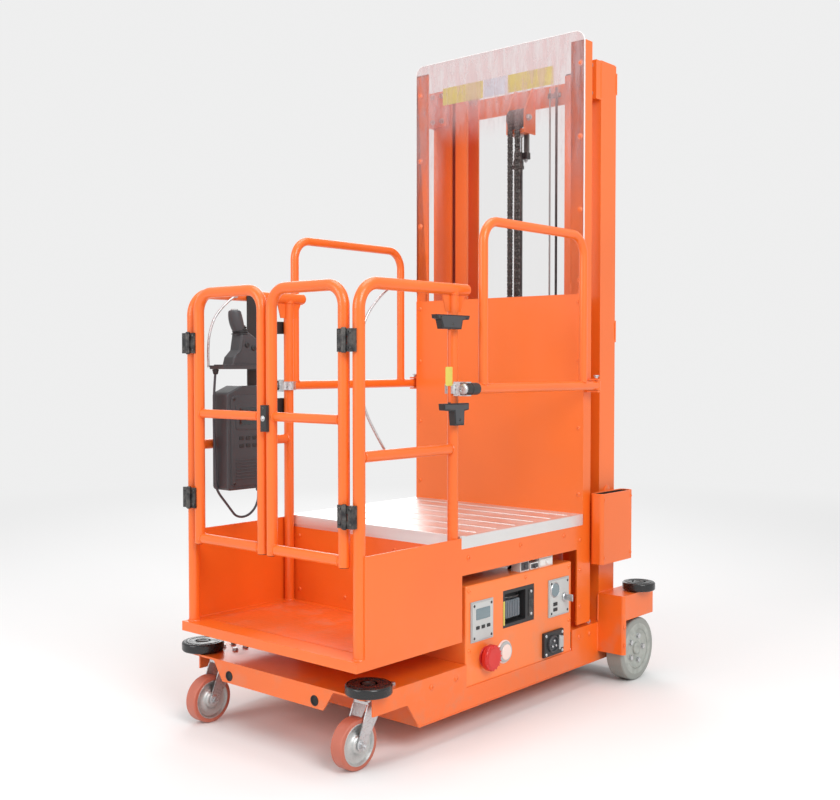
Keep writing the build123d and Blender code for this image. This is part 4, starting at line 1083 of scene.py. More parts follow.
    def _cylinder_fittings(self) -> None:
        """The barrel's gland, bands, foot bolts, port and pipe, and the rod's lock nut."""
        y = self.cylinder_y
        gland = lathe([(0.0172, 0.0), (0.0225, 0.001), (0.0225, 0.012), (0.0205, 0.014),
                       (0.0205, 0.030), (0.0190, 0.033), (0.0172, 0.033)], 32)
        bands = [gland.at((0.0, y, self.gland_z))]
        band = lathe([(0.0170, 0.0), (0.0200, 0.0015), (0.0200, 0.0165), (0.0170, 0.018)])
        bands += [band.at((0.0, y, z)) for z in self.band_z]
        stay = plate(rounded(0.012, 0.028, 0.003), -0.003, 0.003, 0.001, True)
        stays = [stay.at((0.0, y + 0.044, z), Facing.RIGHT) for z in self.stay_z]
        make_piece("cylinder_bands", bands + stays, Finish.DARK_STEEL, "chassis")
        ring = ring_path((0.0, y, 0.234), 0.034, Facing.UP, 6)
        port = lathe([(0.009, -0.004), (0.009, 0.010), (0.0075, 0.011), (0.0075, 0.018),
                      (0.005, 0.019)], 20)
        nuts = fastener(Head.NUT, 0.009)
        fittings = [bolts(Head.HEX, 0.007, [tuple(place) for place in ring], Facing.UP),
                    port.at((self.barrel_r, y, self.port_z), Facing.RIGHT),
                    nuts.at((self.barrel_r + 0.016, y, self.port_z), Facing.RIGHT)]
        make_piece("cylinder_fittings", fittings, Finish.ZINC, "chassis")
        turn = np.linspace(0.0, math.pi / 2, 9)
        bend = 0.028
        elbow = [(self.barrel_r + 0.030 + bend * math.sin(a), y,
                  self.port_z - bend * (1 - math.cos(a))) for a in turn]
        route = [(self.barrel_r + 0.020, y, self.port_z), *elbow, (self.barrel_r + 0.058, y, 0.223)]
        pipe = tube(route, 0.0055, (0, 1, 0))
        make_piece("cylinder_hose", [pipe], Finish.HOSE, "chassis")
        heights = ((0.0, 1.05), (0.002, 1.155), (0.010, 1.155), (0.012, 1.05))
        lock = grid(np.array([hexagon_row(0.0175, z, cap) for z, cap in heights]))
        make_piece("rod_lock_nut", [lock.at((0.0, y, self.rod_head - 0.012))], Finish.ZINC,
                   "mast_stage")

    def _pin(self) -> Patch:
        """A chain pin across one strand."""
        half = self.chain_half
        return lathe([(0.0021, -half - 0.0002), (0.0026, -half + 0.0005), (0.0026, half - 0.0005),
                      (0.0021, half + 0.0002)], 8)

    def _link(self) -> np.ndarray:
        """A leaf link's outline, centred on one pitch: two round ends joined by a waist.

        Returns:
            Its points, one in each row.
        """
        end = self.chain_t / 2
        turn = np.linspace(-1.25, 1.25, 6)
        head = np.column_stack([end * np.sin(turn), self.pitch / 2 + end * np.cos(turn)])
        waist = np.array([(0.74 * end, 0.0)])
        return np.concatenate([-head, waist, head[::-1], -waist])

    def _leaves(self, centres: Iterable[float], middle: float,
                spots: Sequence[float]) -> list[Patch]:
        """Link plates of one strand: an outline in Y and Z raised along X, one for each spot."""
        leaf = plate(self._link(), 0.0, self.leaf_t, self.leaf_edge)
        return [leaf.at((middle + x, 0.0, z), Facing.RIGHT) for z in centres for x in spots]

    def _front_chain(self) -> None:
        """Leaf chain up to the sheave: links overlap by half, with a pin at every joint."""
        y = self.cylinder_y - self.chain_r
        joints = np.arange(self.chain_foot + 0.004, self.sheave_z, self.pitch)
        odd, even = joints[0:-1:2] + self.pitch / 2, joints[1:-1:2] + self.pitch / 2
        strips = []
        pin = self._pin()
        for middle in self.strands:
            strips += self._leaves(odd, middle, self.outer_leaves)
            strips += self._leaves(even, middle, self.inner_leaves)
            strips += [pin.at((middle, 0.0, z), Facing.RIGHT) for z in joints]
        piece = make_piece("lift_chain_front", [joined(strips).moved(y=y)], Finish.CHAIN, "")
        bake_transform(piece)
        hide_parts("chain_front_run")

    def _turn(self) -> None:
        """The chain over the sheave: links at the middle angles of the pitch circle's steps."""
        count = 9
        joints = np.linspace(0.0, math.pi, count + 1)

        def on_sheave(a: float) -> tuple[float, float]:
            """The pitch circle at an angle: y = centre - r cos a, z = centre + r sin a."""
            y = self.cylinder_y - self.chain_r * math.cos(a)
            return y, self.sheave_z + self.chain_r * math.sin(a)

        outline = self._link() * (math.pi * self.chain_r / count / self.pitch, 1.0)
        leaf = plate(outline, 0.0, self.leaf_t, self.leaf_edge)
        pin = self._pin()
        parts = []
        for middle in self.strands:
            for number, (start, stop) in enumerate(zip(joints[:-1], joints[1:])):
                spots = self.inner_leaves if number % 2 else self.outer_leaves
                angle = (start + stop) / 2
                spun = leaf.spun(90.0 - math.degrees(angle) + 90.0)
                parts += [spun.at((middle + x, *on_sheave(angle)), Facing.RIGHT) for x in spots]
            parts += [pin.at((middle, *on_sheave(a)), Facing.RIGHT) for a in joints]
        piece = make_piece("lift_chain_turn", parts, Finish.CHAIN, "mast_stage")
        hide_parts("chain_turn")

    def _rear_chain(self) -> None:
        """The chain's rear run: long leaves of width 0.87 + 0.13 x cos(tau z / pitch)."""
        y = self.cylinder_y + self.chain_r
        rows = np.linspace(self.barrel_top + 0.0005, self.sheave_z, self.rear_rows)
        width = self.chain_t / 2 * (0.87 + 0.13 * np.cos(math.tau * (rows - rows[0]) / self.pitch))
        leaves = []
        for middle in self.strands:
            for x in np.linspace(-0.0100, 0.0079, 7):
                ring = np.array([(-1.0, 0.0), (1.0, 0.0), (1.0, 1.0), (-1.0, 1.0)])
                points = np.stack([np.broadcast_to(middle + x + self.leaf_t * ring[:, 1],
                                                   (self.rear_rows, 4)),
                                   y + width[:, None] * ring[:, 0],
                                   np.broadcast_to(rows[:, None], (self.rear_rows, 4))], axis=-1)
                leaves.append(grid(points))
            core = tube([(middle, y, z) for z in rows], 0.0035, (0, 1, 0), 8)
            wide = core.points.copy()
            wide[:, 0] = middle + (wide[:, 0] - middle) * 2.8
            leaves.append(Patch(wide, core.corners, core.sizes))
        piece = make_piece("lift_chain_rear", leaves, Finish.CHAIN, "")
        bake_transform(piece)
        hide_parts("chain_rear_run")

    def _anchors(self) -> None:
        """Nuts on the anchor bolts under the chains' two ends."""
        front = [(x, self.cylinder_y - self.chain_r - 0.004, self.anchor_z[0])
                 for x in self.strands]
        pin = lathe([(0.0042, 0.0), (0.0042, 0.030), (0.0036, 0.031)], 14)
        pins = [pin.at(place, Facing.DOWN) for place in front]
        nuts = [bolts(Head.NUT, self.anchor_nut, front, Facing.DOWN)]
        make_piece("front_anchor_nuts", nuts + pins, Finish.ZINC, "platform")
        rear = [(x, self.cylinder_y + 0.026, self.anchor_z[1]) for x in self.strands]
        make_piece("rear_anchor_nuts", [bolts(Head.NUT, self.anchor_nut, rear, Facing.DOWN)],
                   Finish.ZINC, "chassis")

    def _conduits(self) -> None:
        """Two upright conduits clipped to the moving mast's ties."""
        y = self.inner_back - 0.010
        for name, x, radius, finish in (("pale", self.conduit_x[0], 0.0036, Finish.GREY_PLASTIC),
                                        ("dark", self.conduit_x[1], 0.0048, Finish.HOSE)):
            conduit = tube([(x, y, z) for z in self.conduit_z], radius, (0, 1, 0), 12)
            make_piece(f"conduit_{name}", [conduit], finish, "mast_stage")
        clip = plate(rounded(0.030, 0.009, 0.004), 0.0, 0.0024, 0.0008)
        saddle = tube([(0.0, -0.0085, 0.010), (0.0, 0.0085, 0.010)], 0.0070, (1, 0, 0), 14)
        clips, screws = [], []
        for z in self.clip_z:
            clips.append(clip.at((self.conduit_x[0] + 0.015, self.inner_back - 0.0015, z),
                                 Facing.FRONT))
            clips += [saddle.at((x, self.inner_back - 0.001, z), Facing.FRONT)
                      for x in self.conduit_x]
            screws += [(self.conduit_x[0] + x, self.inner_back - 0.004, z) for x in (-0.011, 0.041)]
        make_piece("conduit_clips", clips, Finish.BLACK_PLASTIC, "mast_stage")
        make_piece("conduit_screws", [bolts(Head.SCREW, 0.005, screws, Facing.FRONT)], Finish.ZINC,
                   "mast_stage")

    def _caps(self) -> None:
        """Caps on the top ends of both masts' channels."""
        middle = self.inner_half - self.inner_flange / 2
        lid = plate(rounded(self.inner_flange / 2 - 0.001, 0.039, 0.004), 0.0, 0.006, 0.002)
        caps = [lid.at((side * middle, self.channel_y, 2.240), Facing.UP) for side in BOTH]
        make_piece("moving_mast_caps", caps, Finish.BLACK_PLASTIC, "mast_stage")
        middle = self.half - self.flange / 2
        lid = plate(rounded(self.flange / 2 - 0.001, 0.051, 0.005), 0.0, 0.004, 0.0015)
        tops = [lid.at((side * middle, self.channel_y, self.top), Facing.UP) for side in BOTH]
        make_piece("fixed_mast_caps", tops, Finish.BODY_ORANGE, "chassis")


# ---------------------------------------------------------------- platform


@dataclass
class Screen:
    """The clear screen's washers, screws and bare label, and the carriage's seams behind it."""

    front: float = 0.424
    panel_front: float = 0.421
    screw_x: float = 0.376
    arm_x: float = 0.205
    arm_y: float = 0.582
    arm_z: tuple = (0.340, 0.640)
    seam_y: float = 0.430
    label_half: float = 0.260
    label_z: tuple = (2.184, 2.250)
    ties: tuple = ((0.300, 0.360), (0.610, 0.680), (1.370, 1.420))

    def build(self) -> None:
        """Make the screen's pieces."""
        heights = (1.470, 1.720, 1.980, 2.240)
        places = [(side * self.screw_x, self.front, z) for side in BOTH for z in heights]
        washer = lathe([(0.0115, 0.0), (0.0115, 0.0016), (0.0095, 0.0024), (0.0005, 0.0024)], 24)
        make_piece("screen_washers", [washer.at(place, Facing.FRONT) for place in places],
                   Finish.CAGE_ORANGE, "platform")
        screws = [(x, y - 0.002, z) for x, y, z in places]
        lower = [(side * self.screw_x, self.panel_front, z) for side in BOTH
                 for z in (0.700, 0.940, 1.180, 1.390)]
        make_piece("screen_screws", [bolts(Head.DOME, 0.0075, screws, Facing.FRONT), bolts(
            Head.DOME, 0.0080, lower, Facing.FRONT)], Finish.CAGE_ORANGE, "platform")
        self._labels()
        self._welds()

    def _labels(self) -> None:
        """A bare strip in three fields: yellow, pale, yellow."""
        low, high = self.label_z
        middle = (low + high) / 2
        fields = (("left", -self.label_half, -0.062, Finish.LABEL_YELLOW),
                  ("middle", -0.058, 0.052, Finish.LABEL_PALE),
                  ("right", 0.056, self.label_half, Finish.LABEL_YELLOW))
        for name, x0, x1, finish in fields:
            shape = plate(rounded((x1 - x0) / 2, (high - low) / 2, 0.004), 0.0, 0.0006, 0.0002)
            make_piece(f"screen_label_{name}",
                       [shape.at(((x0 + x1) / 2, self.front, middle), Facing.FRONT)], finish,
                       "platform", "clear_sheet")

    def _welds(self) -> None:
        """Beads along the carriage's ties and arms, behind the panel and screen."""
        seams = []
        for side in BOTH:
            for low, high in self.ties:
                for z in (low, high):
                    seams.append(bead([(side * 0.392, self.seam_y, z),
                                       (side * 0.338, self.seam_y, z)], 0.0026, (0, 1, 0)))
            for x in (side * 0.195, side * self.arm_x):
                for low, high in self.ties[:2]:
                    seams.append(bead([(x, 0.4305, low), (x, 0.4305, high)], 0.0028, (0, 1, 0)))
            for z in self.arm_z:
                seams.append(collar((side * self.arm_x, self.arm_y, z), 0.0115, 0.0026,
                                    outward(side)))
        make_piece("carriage_welds", seams, Finish.CAGE_ORANGE, "platform")
        ends = [(side * 0.195, self.arm_y, z) for side in BOTH for z in self.arm_z]
        nuts = [bolts(Head.HEX, 0.011, [place], outward(-place[0])) for place in ends]
        make_piece("carriage_nuts", nuts, Finish.ZINC, "platform")


@dataclass
class Deck:
    """Load deck trim, cage floor tread, riser screws and the side panels' fasteners."""

    half: float = 0.396
    top: float = 0.630
    step_y: float = -0.275
    floor: float = 0.330
    tread: tuple = (0.350, -0.672, -0.300)
    wave: float = 0.020

    def build(self) -> None:
        """Make the deck's pieces."""
        self._nosing()
        self._tread()
        self._fasteners()
        self._seams()

    def _nosing(self) -> None:
        """A nosing along the deck's front edge, its section a quarter of an ellipse, and ribs."""
        turn = np.linspace(0.0, math.pi / 2, 7)
        section = [(-0.0035 * math.sin(a), 0.0022 * math.cos(a)) for a in turn]
        ring = np.array([(0.020, 0.0022), *section, (-0.0035, -0.030), (0.0, -0.030), (0.0, 0.0),
                         (0.020, 0.0)])
        stations = np.array([-self.half + 0.003, self.half - 0.003])
        points = np.stack([np.broadcast_to(stations[:, None], (2, len(ring))),
                           np.broadcast_to(self.step_y + ring[:, 0], (2, len(ring))),
                           np.broadcast_to(self.top + ring[:, 1], (2, len(ring)))], axis=-1)
        make_piece("deck_nosing", [grid(points)], Finish.DECK_SHEET, "platform")
        rib = plate(rounded(0.372, 0.0022, 0.001), 0.0, 0.0016, 0.0006)
        strips = [rib.at((0.0, y, self.top), Facing.UP)
                  for y in (-0.170, -0.065, 0.040, 0.145, 0.250, 0.355)]
        make_piece("deck_ribs", strips, Finish.DECK_SHEET, "platform")

    def _tread(self) -> None:
        """Tread on the cage floor: height = 0.9 mm x |sin| across x |sin| along, on a thin slab."""
        half, front, back = self.tread
        across, along = np.meshgrid(np.linspace(-half, half, 141), np.linspace(front, back, 76))
        wave = np.abs(np.sin(across * math.pi / self.wave))
        wave *= np.abs(np.sin(along * math.pi / self.wave))
        rim = np.minimum(half - np.abs(across), np.minimum(along - front, back - along))
        height = self.floor + 0.0012 + 0.0009 * wave * (rim > 0.012)
        top = np.stack([across, along, height], axis=-1)
        foot = top.copy()
        foot[..., 2] = self.floor + 0.0002
        upper, lower = grid(top, around=False, caps=False), grid(foot, around=False, caps=False)
        rows, columns = across.shape
        index = np.arange(rows * columns).reshape(rows, columns)
        loop = np.concatenate([index[0], index[1:, -1], index[-1, -2::-1], index[-2:0:-1, 0]])
        following = np.roll(loop, -1)
        count = len(upper.points)
        wall = np.stack([loop, following, following + count, loop + count], axis=-1).reshape(-1)
        both = upper + lower
        sizes = np.concatenate([both.sizes, np.full(len(loop), 4)])
        slab = Patch(both.points, np.concatenate([both.corners, wall]), sizes)
        make_piece("cage_tread", [slab], Finish.FLOOR_ORANGE, "platform")

    def _fasteners(self) -> None:
        """Screws in the riser, the deck's side panels, the cage walls and the rear legs."""
        riser = [(x, self.step_y, z) for x in (-0.340, -0.115, 0.115, 0.340)
                 for z in (0.370, 0.560)]
        side = [(s * self.half, y, z) for s in BOTH
                for y, z in ((-0.240, 0.560), (0.040, 0.566), (0.300, 0.566), (0.403, 0.540),
                             (0.403, 0.430), (0.403, 0.300))]
        right = [place for place in side if place[0] > 0]
        left = [place for place in side if place[0] < 0]
        make_piece("deck_screws", [bolts(Head.DOME, 0.0075, riser, Facing.FRONT), bolts(
            Head.DOME, 0.0080, right, Facing.RIGHT), bolts(Head.DOME, 0.0080, left, Facing.LEFT)],
                   Finish.CAGE_ORANGE, "platform")

    def _seams(self) -> None:
        """Beads in the tray's corners and round the guards' feet."""
        seams = []
        for side in BOTH:
            x = side * (self.half - 0.0035)
            seams.append(bead([(x, -0.708, self.floor + 0.001),
                               (x, self.step_y - 0.002, self.floor + 0.001)], 0.0030))
            seams.append(bead([(x, self.step_y - 0.001, 0.335), (x, self.step_y - 0.001, 0.586)],
                              0.0030, (1, 0, 0)))
            for y, radius in ((-0.712, 0.018), (-0.293, 0.017)):
                seams.append(collar((side * 0.3747, y, self.floor + 0.0005), radius + 0.0006,
                                    0.0032, Facing.UP))
        make_piece("cage_welds", seams, Finish.CAGE_ORANGE, "platform")


@dataclass
class Guards:
    """Welds and caps of the guards, side rails and gates, hinge screws and latch details."""

    guard_x: float = 0.3747
    centre_top: float = 1.400
    post_y: float = -0.712
    rear_y: float = -0.293
    mid_z: float = 0.905
    stub_y: float = -0.225
    rail_x: float = 0.430
    rail_z: float = 1.092
    rail_r: float = 0.016
    rail_front: float = -0.311
    legs_y: tuple = (-0.211, 0.364)
    pivot_y: float = 0.452
    handle_x: float = 0.392
    handle_t: float = 0.022
    rod_y: float = -0.345
    leaf_y: float = -0.724
    leaf_r: float = 0.017
    leaf_x: tuple = (0.021, 0.327)
    leaf_mid: float = 1.010
    leaf_foot: float = 0.590
    hinge_x: float = 0.352
    hinge_y: float = -0.749
    hinge_z: tuple = (0.738, 1.236)
    hinge_h: float = 0.066
    catch_x: float = 0.402
    ferrule: tuple = (0.3524, -0.552, 1.3965)
    weld_r: float = 0.0164
    weld: float = 0.0028
    sleeve_y: float = -0.287
    tag_z: float = 1.131
    bolt: tuple = (0.0155, -0.755, 1.005)

    def build(self) -> None:
        """Make the guards', rails' and gates' pieces."""
        self._guard_welds()
        self._rails()
        self._handles()
        self._gates()
        self._hinges()

    def _guard_welds(self) -> None:
        """Weld rings where a guard's tubes meet, gusset seams, end plugs and cable ferrules."""
        seams = []
        for side in BOTH:
            x = side * self.guard_x
            seams.append(collar((x, self.post_y + 0.0165, self.mid_z), self.weld_r, self.weld,
                                Facing.BACK))
            seams.append(collar((x, self.rear_y - 0.0155, self.mid_z), self.weld_r, self.weld,
                                Facing.FRONT))
            seams.append(collar((x, self.rear_y, self.centre_top - 0.0165), 0.0175, self.weld,
                                Facing.DOWN))
            low = self.centre_top - 0.0182
            for y in (self.rear_y - 0.057, self.rear_y + 0.065):
                seams.append(bead([(x, y + 0.004, low), (x, self.rear_y, low)], 0.0024, (0, 0, 1)))
        make_piece("guard_welds", seams, Finish.CAGE_ORANGE, "platform")
        plug = lathe(fillet_profile(0.0172, -0.002, 0.003, 0.0025), 28)
        plugs = [plug.at((side * self.guard_x, self.stub_y, self.centre_top), Facing.BACK)
                 for side in BOTH]
        make_piece("guard_plugs", plugs, Finish.BLACK_PLASTIC, "platform")
        x, y, z = self.ferrule
        ferrule = lathe([(0.0046, -0.007), (0.0072, -0.006), (0.0072, 0.006), (0.0046, 0.007)], 16)
        clips = [ferrule.at((side * x, y, z), Facing.BACK) for side in BOTH]
        make_piece("stay_ferrules", clips, Finish.ZINC, "platform")

    def _rails(self) -> None:
        """Each side rail's weld rings, sleeve and end fitting; the pivots' caps and bolts."""
        for name, side in SIDES:
            x = side * self.rail_x
            body = f"rail_{name}"
            rings = [collar((x, y, self.rail_z + 0.0152), 0.0154, 0.0027, Facing.UP)
                     for y in self.legs_y]
            rings.append(collar((x, self.pivot_y - 0.016, self.rail_z), 0.0135, 0.0024,
                                Facing.FRONT))
            make_piece(f"rail_welds_{name}", rings, Finish.CAGE_ORANGE, body)
            sleeve = [(self.rail_r, -0.020), (0.0172, -0.019), (0.0172, 0.007), (0.0190, 0.0085),
                      (0.0190, 0.040), (0.0182, 0.0435), (self.rail_r, 0.0445)]
            make_piece(f"rail_sleeve_{name}", [lathe(sleeve, 36).at(
                (x, self.sleeve_y, self.rail_z), Facing.BACK)], Finish.BLACK_PLASTIC, body)
            fitting = [(0.0150, 0.0), (0.0165, -0.001), (0.0168, -0.014), (0.0150, -0.0165),
                       (0.0105, -0.0170), (0.0100, -0.0130), (0.0005, -0.0130)]
            end = lathe(fitting, 32).at((x, self.rail_front + 0.012, self.rail_z), Facing.BACK)
            make_piece(f"rail_end_{name}", [end], Finish.ZINC, body)
        heads = [(side * self.rail_x, self.pivot_y, self.rail_z + 0.0320) for side in BOTH]
        cap = lathe([(0.0062, -0.006), (0.0062, 0.0), (0.0105, 0.0003), (0.0105, 0.0036),
                     (0.0085, 0.005), (0.0005, 0.005)], 24)
        pins = [cap.at(place, Facing.UP) for place in heads]
        plates = [bolts(Head.HEX, 0.007, [(side * self.catch_x, self.pivot_y + y, self.rail_z)
                                          for y in (-0.008, 0.008)], outward(side))
                  for side in BOTH]
        make_piece("pivot_caps", pins + plates, Finish.ZINC, "platform")

    def _handles(self) -> None:
        """Skins over the latch grips, their screws, the bare yellow tag and the latch rod."""
        for name, side in SIDES:
            facing = outward(side)
            outer = side * (self.handle_x + self.handle_t)
            wedge = np.array(((-0.412, 1.3145), (-0.408, 1.307), (-0.394, 1.304), (-0.384, 1.279),
                              (-0.304, 1.279), (-0.296, 1.304), (-0.266, 1.3075), (-0.264, 1.3145)))
            pull = np.array(((-0.379, 1.032), (-0.330, 1.028), (-0.326, 0.985), (-0.290, 0.985),
                             (-0.288, 1.028), (-0.266, 1.031), (-0.266, 1.0445), (-0.379, 1.0445)))
            pads = []
            for outline in (wedge, pull):
                middle = outline.mean(axis=0)
                local = (outline - middle) * (side, 1.0)
                local = local if side > 0 else local[::-1]
                pads.append(plate(local, -0.001, 0.0022,
                                  0.0018).at((outer, middle[0], middle[1]), facing))
            make_piece(f"latch_pads_{name}", pads, Finish.CONSOLE_PLASTIC, "platform")
            screws = [(outer + side * 0.0020, y, z) for y, z in ((-0.400, 1.3105), (-0.276, 1.3105),
                                                                 (-0.344, 1.290), (-0.308, 0.997))]
            make_piece(f"latch_screws_{name}", [bolts(Head.DOME, 0.0045, screws, facing)],
                       Finish.DARK_STEEL, "platform")
            tag = plate(rounded(0.0165, 0.029, 0.003), 0.0, 0.0014, 0.0005, True)
            place = (side * (self.handle_x + 0.0165), self.rod_y - 0.009, self.tag_z)
            make_piece(f"latch_tag_{name}", [tag.at(place, facing)], Finish.LABEL_YELLOW,
                       "platform")
            rod = tube([(side * 0.403, self.rod_y, z) for z in (1.052, 1.15, 1.274)], 0.0049,
                       (0, 1, 0), 14)
            make_piece(f"latch_rod_{name}", [rod], Finish.FLOOR_ORANGE, "platform")

    def _gates(self) -> None:
        """Weld rings where the leaves' bars meet, foot plugs, and the bolt's pin and screws."""
        for name, side in SIDES:
            near, far = (side * x for x in self.leaf_x)
            foot = self.leaf_foot + self.leaf_r
            rings = []
            for z, radius in ((self.leaf_mid, 0.0144), (foot, 0.0162)):
                rings.append(collar((near + side * 0.0158, self.leaf_y, z), radius, 0.0026,
                                    outward(side)))
                rings.append(collar((far - side * 0.0158, self.leaf_y, z), radius, 0.0026,
                                    outward(-side)))
            make_piece(f"gate_welds_{name}", rings, Finish.CAGE_ORANGE, f"gate_{name}")
            plug = lathe(fillet_profile(0.0155, -0.003, 0.0022, 0.002), 24)
            make_piece(f"gate_plugs_{name}",
                       [plug.at((x, self.leaf_y, self.leaf_foot), Facing.DOWN)
                        for x in (near, far)], Finish.BLACK_PLASTIC, f"gate_{name}")
        x, face, z = self.bolt
        pin = lathe([(0.0052, 0.0), (0.0052, 0.004), (0.0038, 0.0062), (0.0005, 0.0068)], 20)
        rim = lathe([(0.0088, -0.0005), (0.0088, 0.0008), (0.0070, 0.0016), (0.0056, 0.0014),
                     (0.0050, 0.0005)], 24)
        make_piece("gate_bolt_pin", [pin.at((x, face + 0.0012, z), Facing.FRONT),
                                     rim.at((x, face, z), Facing.FRONT)], Finish.ZINC, "gate_right")
        screws = [(x, face, height) for height in (0.975, 1.035)]
        make_piece("gate_bolt_screws", [bolts(Head.DOME, 0.0050, screws, Facing.FRONT)],
                   Finish.DARK_STEEL, "gate_right")

    def _hinges(self) -> None:
        """Domed screws on both flaps of each hinge, and round caps on the pins' ends."""
        for name, side in SIDES:
            fixed, moving, caps = [], [], []
            for z in self.hinge_z:
                for dz in (-0.0225, 0.0225):
                    fixed.append((side * (self.hinge_x + 0.0215), self.hinge_y + 0.001, z + dz))
                    moving.append((side * (self.hinge_x - 0.0205), self.hinge_y + 0.001, z + dz))
                caps += [((side * self.hinge_x, self.hinge_y, z + self.hinge_h / 2), Facing.UP),
                         ((side * self.hinge_x, self.hinge_y, z - self.hinge_h / 2), Facing.DOWN)]
            dome = lathe(fillet_profile(0.0072, -0.001, 0.0030, 0.0028), 20)
            parts = [bolts(Head.DOME, 0.0058, fixed, Facing.FRONT)] + [dome.at(*cap)
                                                                       for cap in caps]
            make_piece(f"hinge_screws_fixed_{name}", parts, Finish.DARK_STEEL, "platform")
            make_piece(f"hinge_screws_moving_{name}", [
                bolts(Head.DOME, 0.0058, moving, Facing.FRONT)], Finish.DARK_STEEL, f"gate_{name}")


# ---------------------------------------------------------------- console, cover, base and wheels


@dataclass
class Console:
    """The control box's door, display and keys, the joystick's boot and button, and glands."""

    x: tuple = (-0.3524, -0.2767)
    y: tuple = (-0.650, -0.455)
    z: tuple = (0.755, 1.097)
    base_y: tuple = (-0.662, -0.480)
    base_z: float = 1.164
    mid_x: float = -0.3166
    lead_x: float = -0.330
    gland_y: tuple = (-0.4745, -0.6552)

    def build(self) -> None:
        """Make the console's pieces."""
        face = self.x[1]
        middle = (sum(self.y) / 2, sum(self.z) / 2 - 0.010)
        door = plate(rounded(0.084, 0.150, 0.016), -0.001, 0.0030,
                     0.0022).at((face, *middle), Facing.RIGHT)
        lip = plate(rounded(0.066, 0.042, 0.008), 0.0, 0.0024,
                    0.0012).at((face + 0.0025, middle[0], 0.995), Facing.RIGHT)
        make_piece("console_door", [door, lip], Finish.CONSOLE_PLASTIC, "platform")
        glass = plate(rounded(0.052, 0.028, 0.004), 0.0, 0.0012,
                      0.0006).at((face + 0.0048, middle[0], 0.997), Facing.RIGHT)
        make_piece("console_display", [glass], Finish.DISPLAY, "platform")
        screws = [(face + 0.0028, middle[0] + y, middle[1] + z) for y in (-0.072, 0.072)
                  for z in (-0.138, 0.138)]
        make_piece("console_screws", [bolts(Head.DOME, 0.0055, screws, Facing.RIGHT)],
                   Finish.DARK_STEEL, "platform")
        key = plate(rounded(0.009, 0.006, 0.0025), 0.0, 0.0030, 0.0014)
        keys = [key.at((face + 0.0028, middle[0] + y, z), Facing.RIGHT)
                for y in (-0.042, -0.014, 0.014, 0.042) for z in (0.925, 0.900)]
        make_piece("console_keys", keys, Finish.BLACK_PLASTIC, "platform")
        rib = plate(rounded(0.066, 0.0022, 0.001), 0.0, 0.0022, 0.001)
        ribs = [rib.at((face + 0.0028, middle[0], z), Facing.RIGHT)
                for z in np.arange(0.792, 0.862, 0.0105)]
        make_piece("console_ribs", ribs, Finish.CONSOLE_PLASTIC, "platform")
        self._glands()
        self._stick()

    def _glands(self) -> None:
        """Glands where the lead leaves the joystick's plate and enters the box from below."""
        gland = [(0.0045, 0.0), (0.0105, 0.0005), (0.0105, 0.007), (0.0090, 0.008), (0.0088, 0.013),
                 (0.0066, 0.017), (0.0045, 0.0175)]
        parts = [lathe(gland, 20).at((self.lead_x, self.gland_y[0], self.z[0]), Facing.DOWN),
                 lathe(gland, 20).at((self.lead_x, self.gland_y[1], self.base_z - 0.012),
                                     Facing.DOWN)]
        make_piece("cable_glands", parts, Finish.BLACK_PLASTIC, "platform")

    def _stick(self) -> None:
        """The panel under the stick, its pleated boot, the grip's button, two keys and a seam."""
        panel = plate(rounded(0.030, 0.082, 0.008), 0.0, 0.003, 0.0015).at(
            (self.mid_x, sum(self.base_y) / 2, self.base_z), Facing.UP)
        make_piece("stick_panel", [panel], Finish.CONSOLE_PLASTIC, "platform")
        turn = np.linspace(0.0, 1.0, 25)
        boot = [(0.0285 - 0.010 * t + 0.0022 * math.sin(t * 4 * math.tau), 0.030 * t) for t in turn]
        pleats = lathe([*boot, (0.012, 0.030)], 32).at((self.mid_x, -0.562, 1.2665), Facing.UP)
        make_piece("stick_boot", [pleats], Finish.HOSE, "platform")
        cap = lathe([(0.010, 0.0), (0.0125, 0.001), (0.0125, 0.004), (0.0105, 0.006),
                     (0.0005, 0.0068)], 24)
        button = cap.at((self.mid_x, -0.5865, 1.3445), Facing.UP)
        make_piece("stick_button", [button], Finish.GREY_PLASTIC, "platform")
        thumb = lathe([(0.0088, -0.001), (0.0088, 0.0035), (0.007, 0.005), (0.0005, 0.0052)], 20)
        keys = [thumb.at((self.mid_x + 0.0268, y, z), Facing.RIGHT)
                for y, z in ((-0.556, 1.232), (-0.528, 1.222))]
        make_piece("stick_keys", keys, Finish.BLACK_PLASTIC, "platform")
        seam = tube([(self.mid_x + 0.0268, y, z)
                     for y, z in ((-0.600, 1.196), (-0.579, 1.214), (-0.571, 1.250))], 0.0012)
        make_piece("stick_seam", [seam], Finish.BLACK_PLASTIC, "platform")


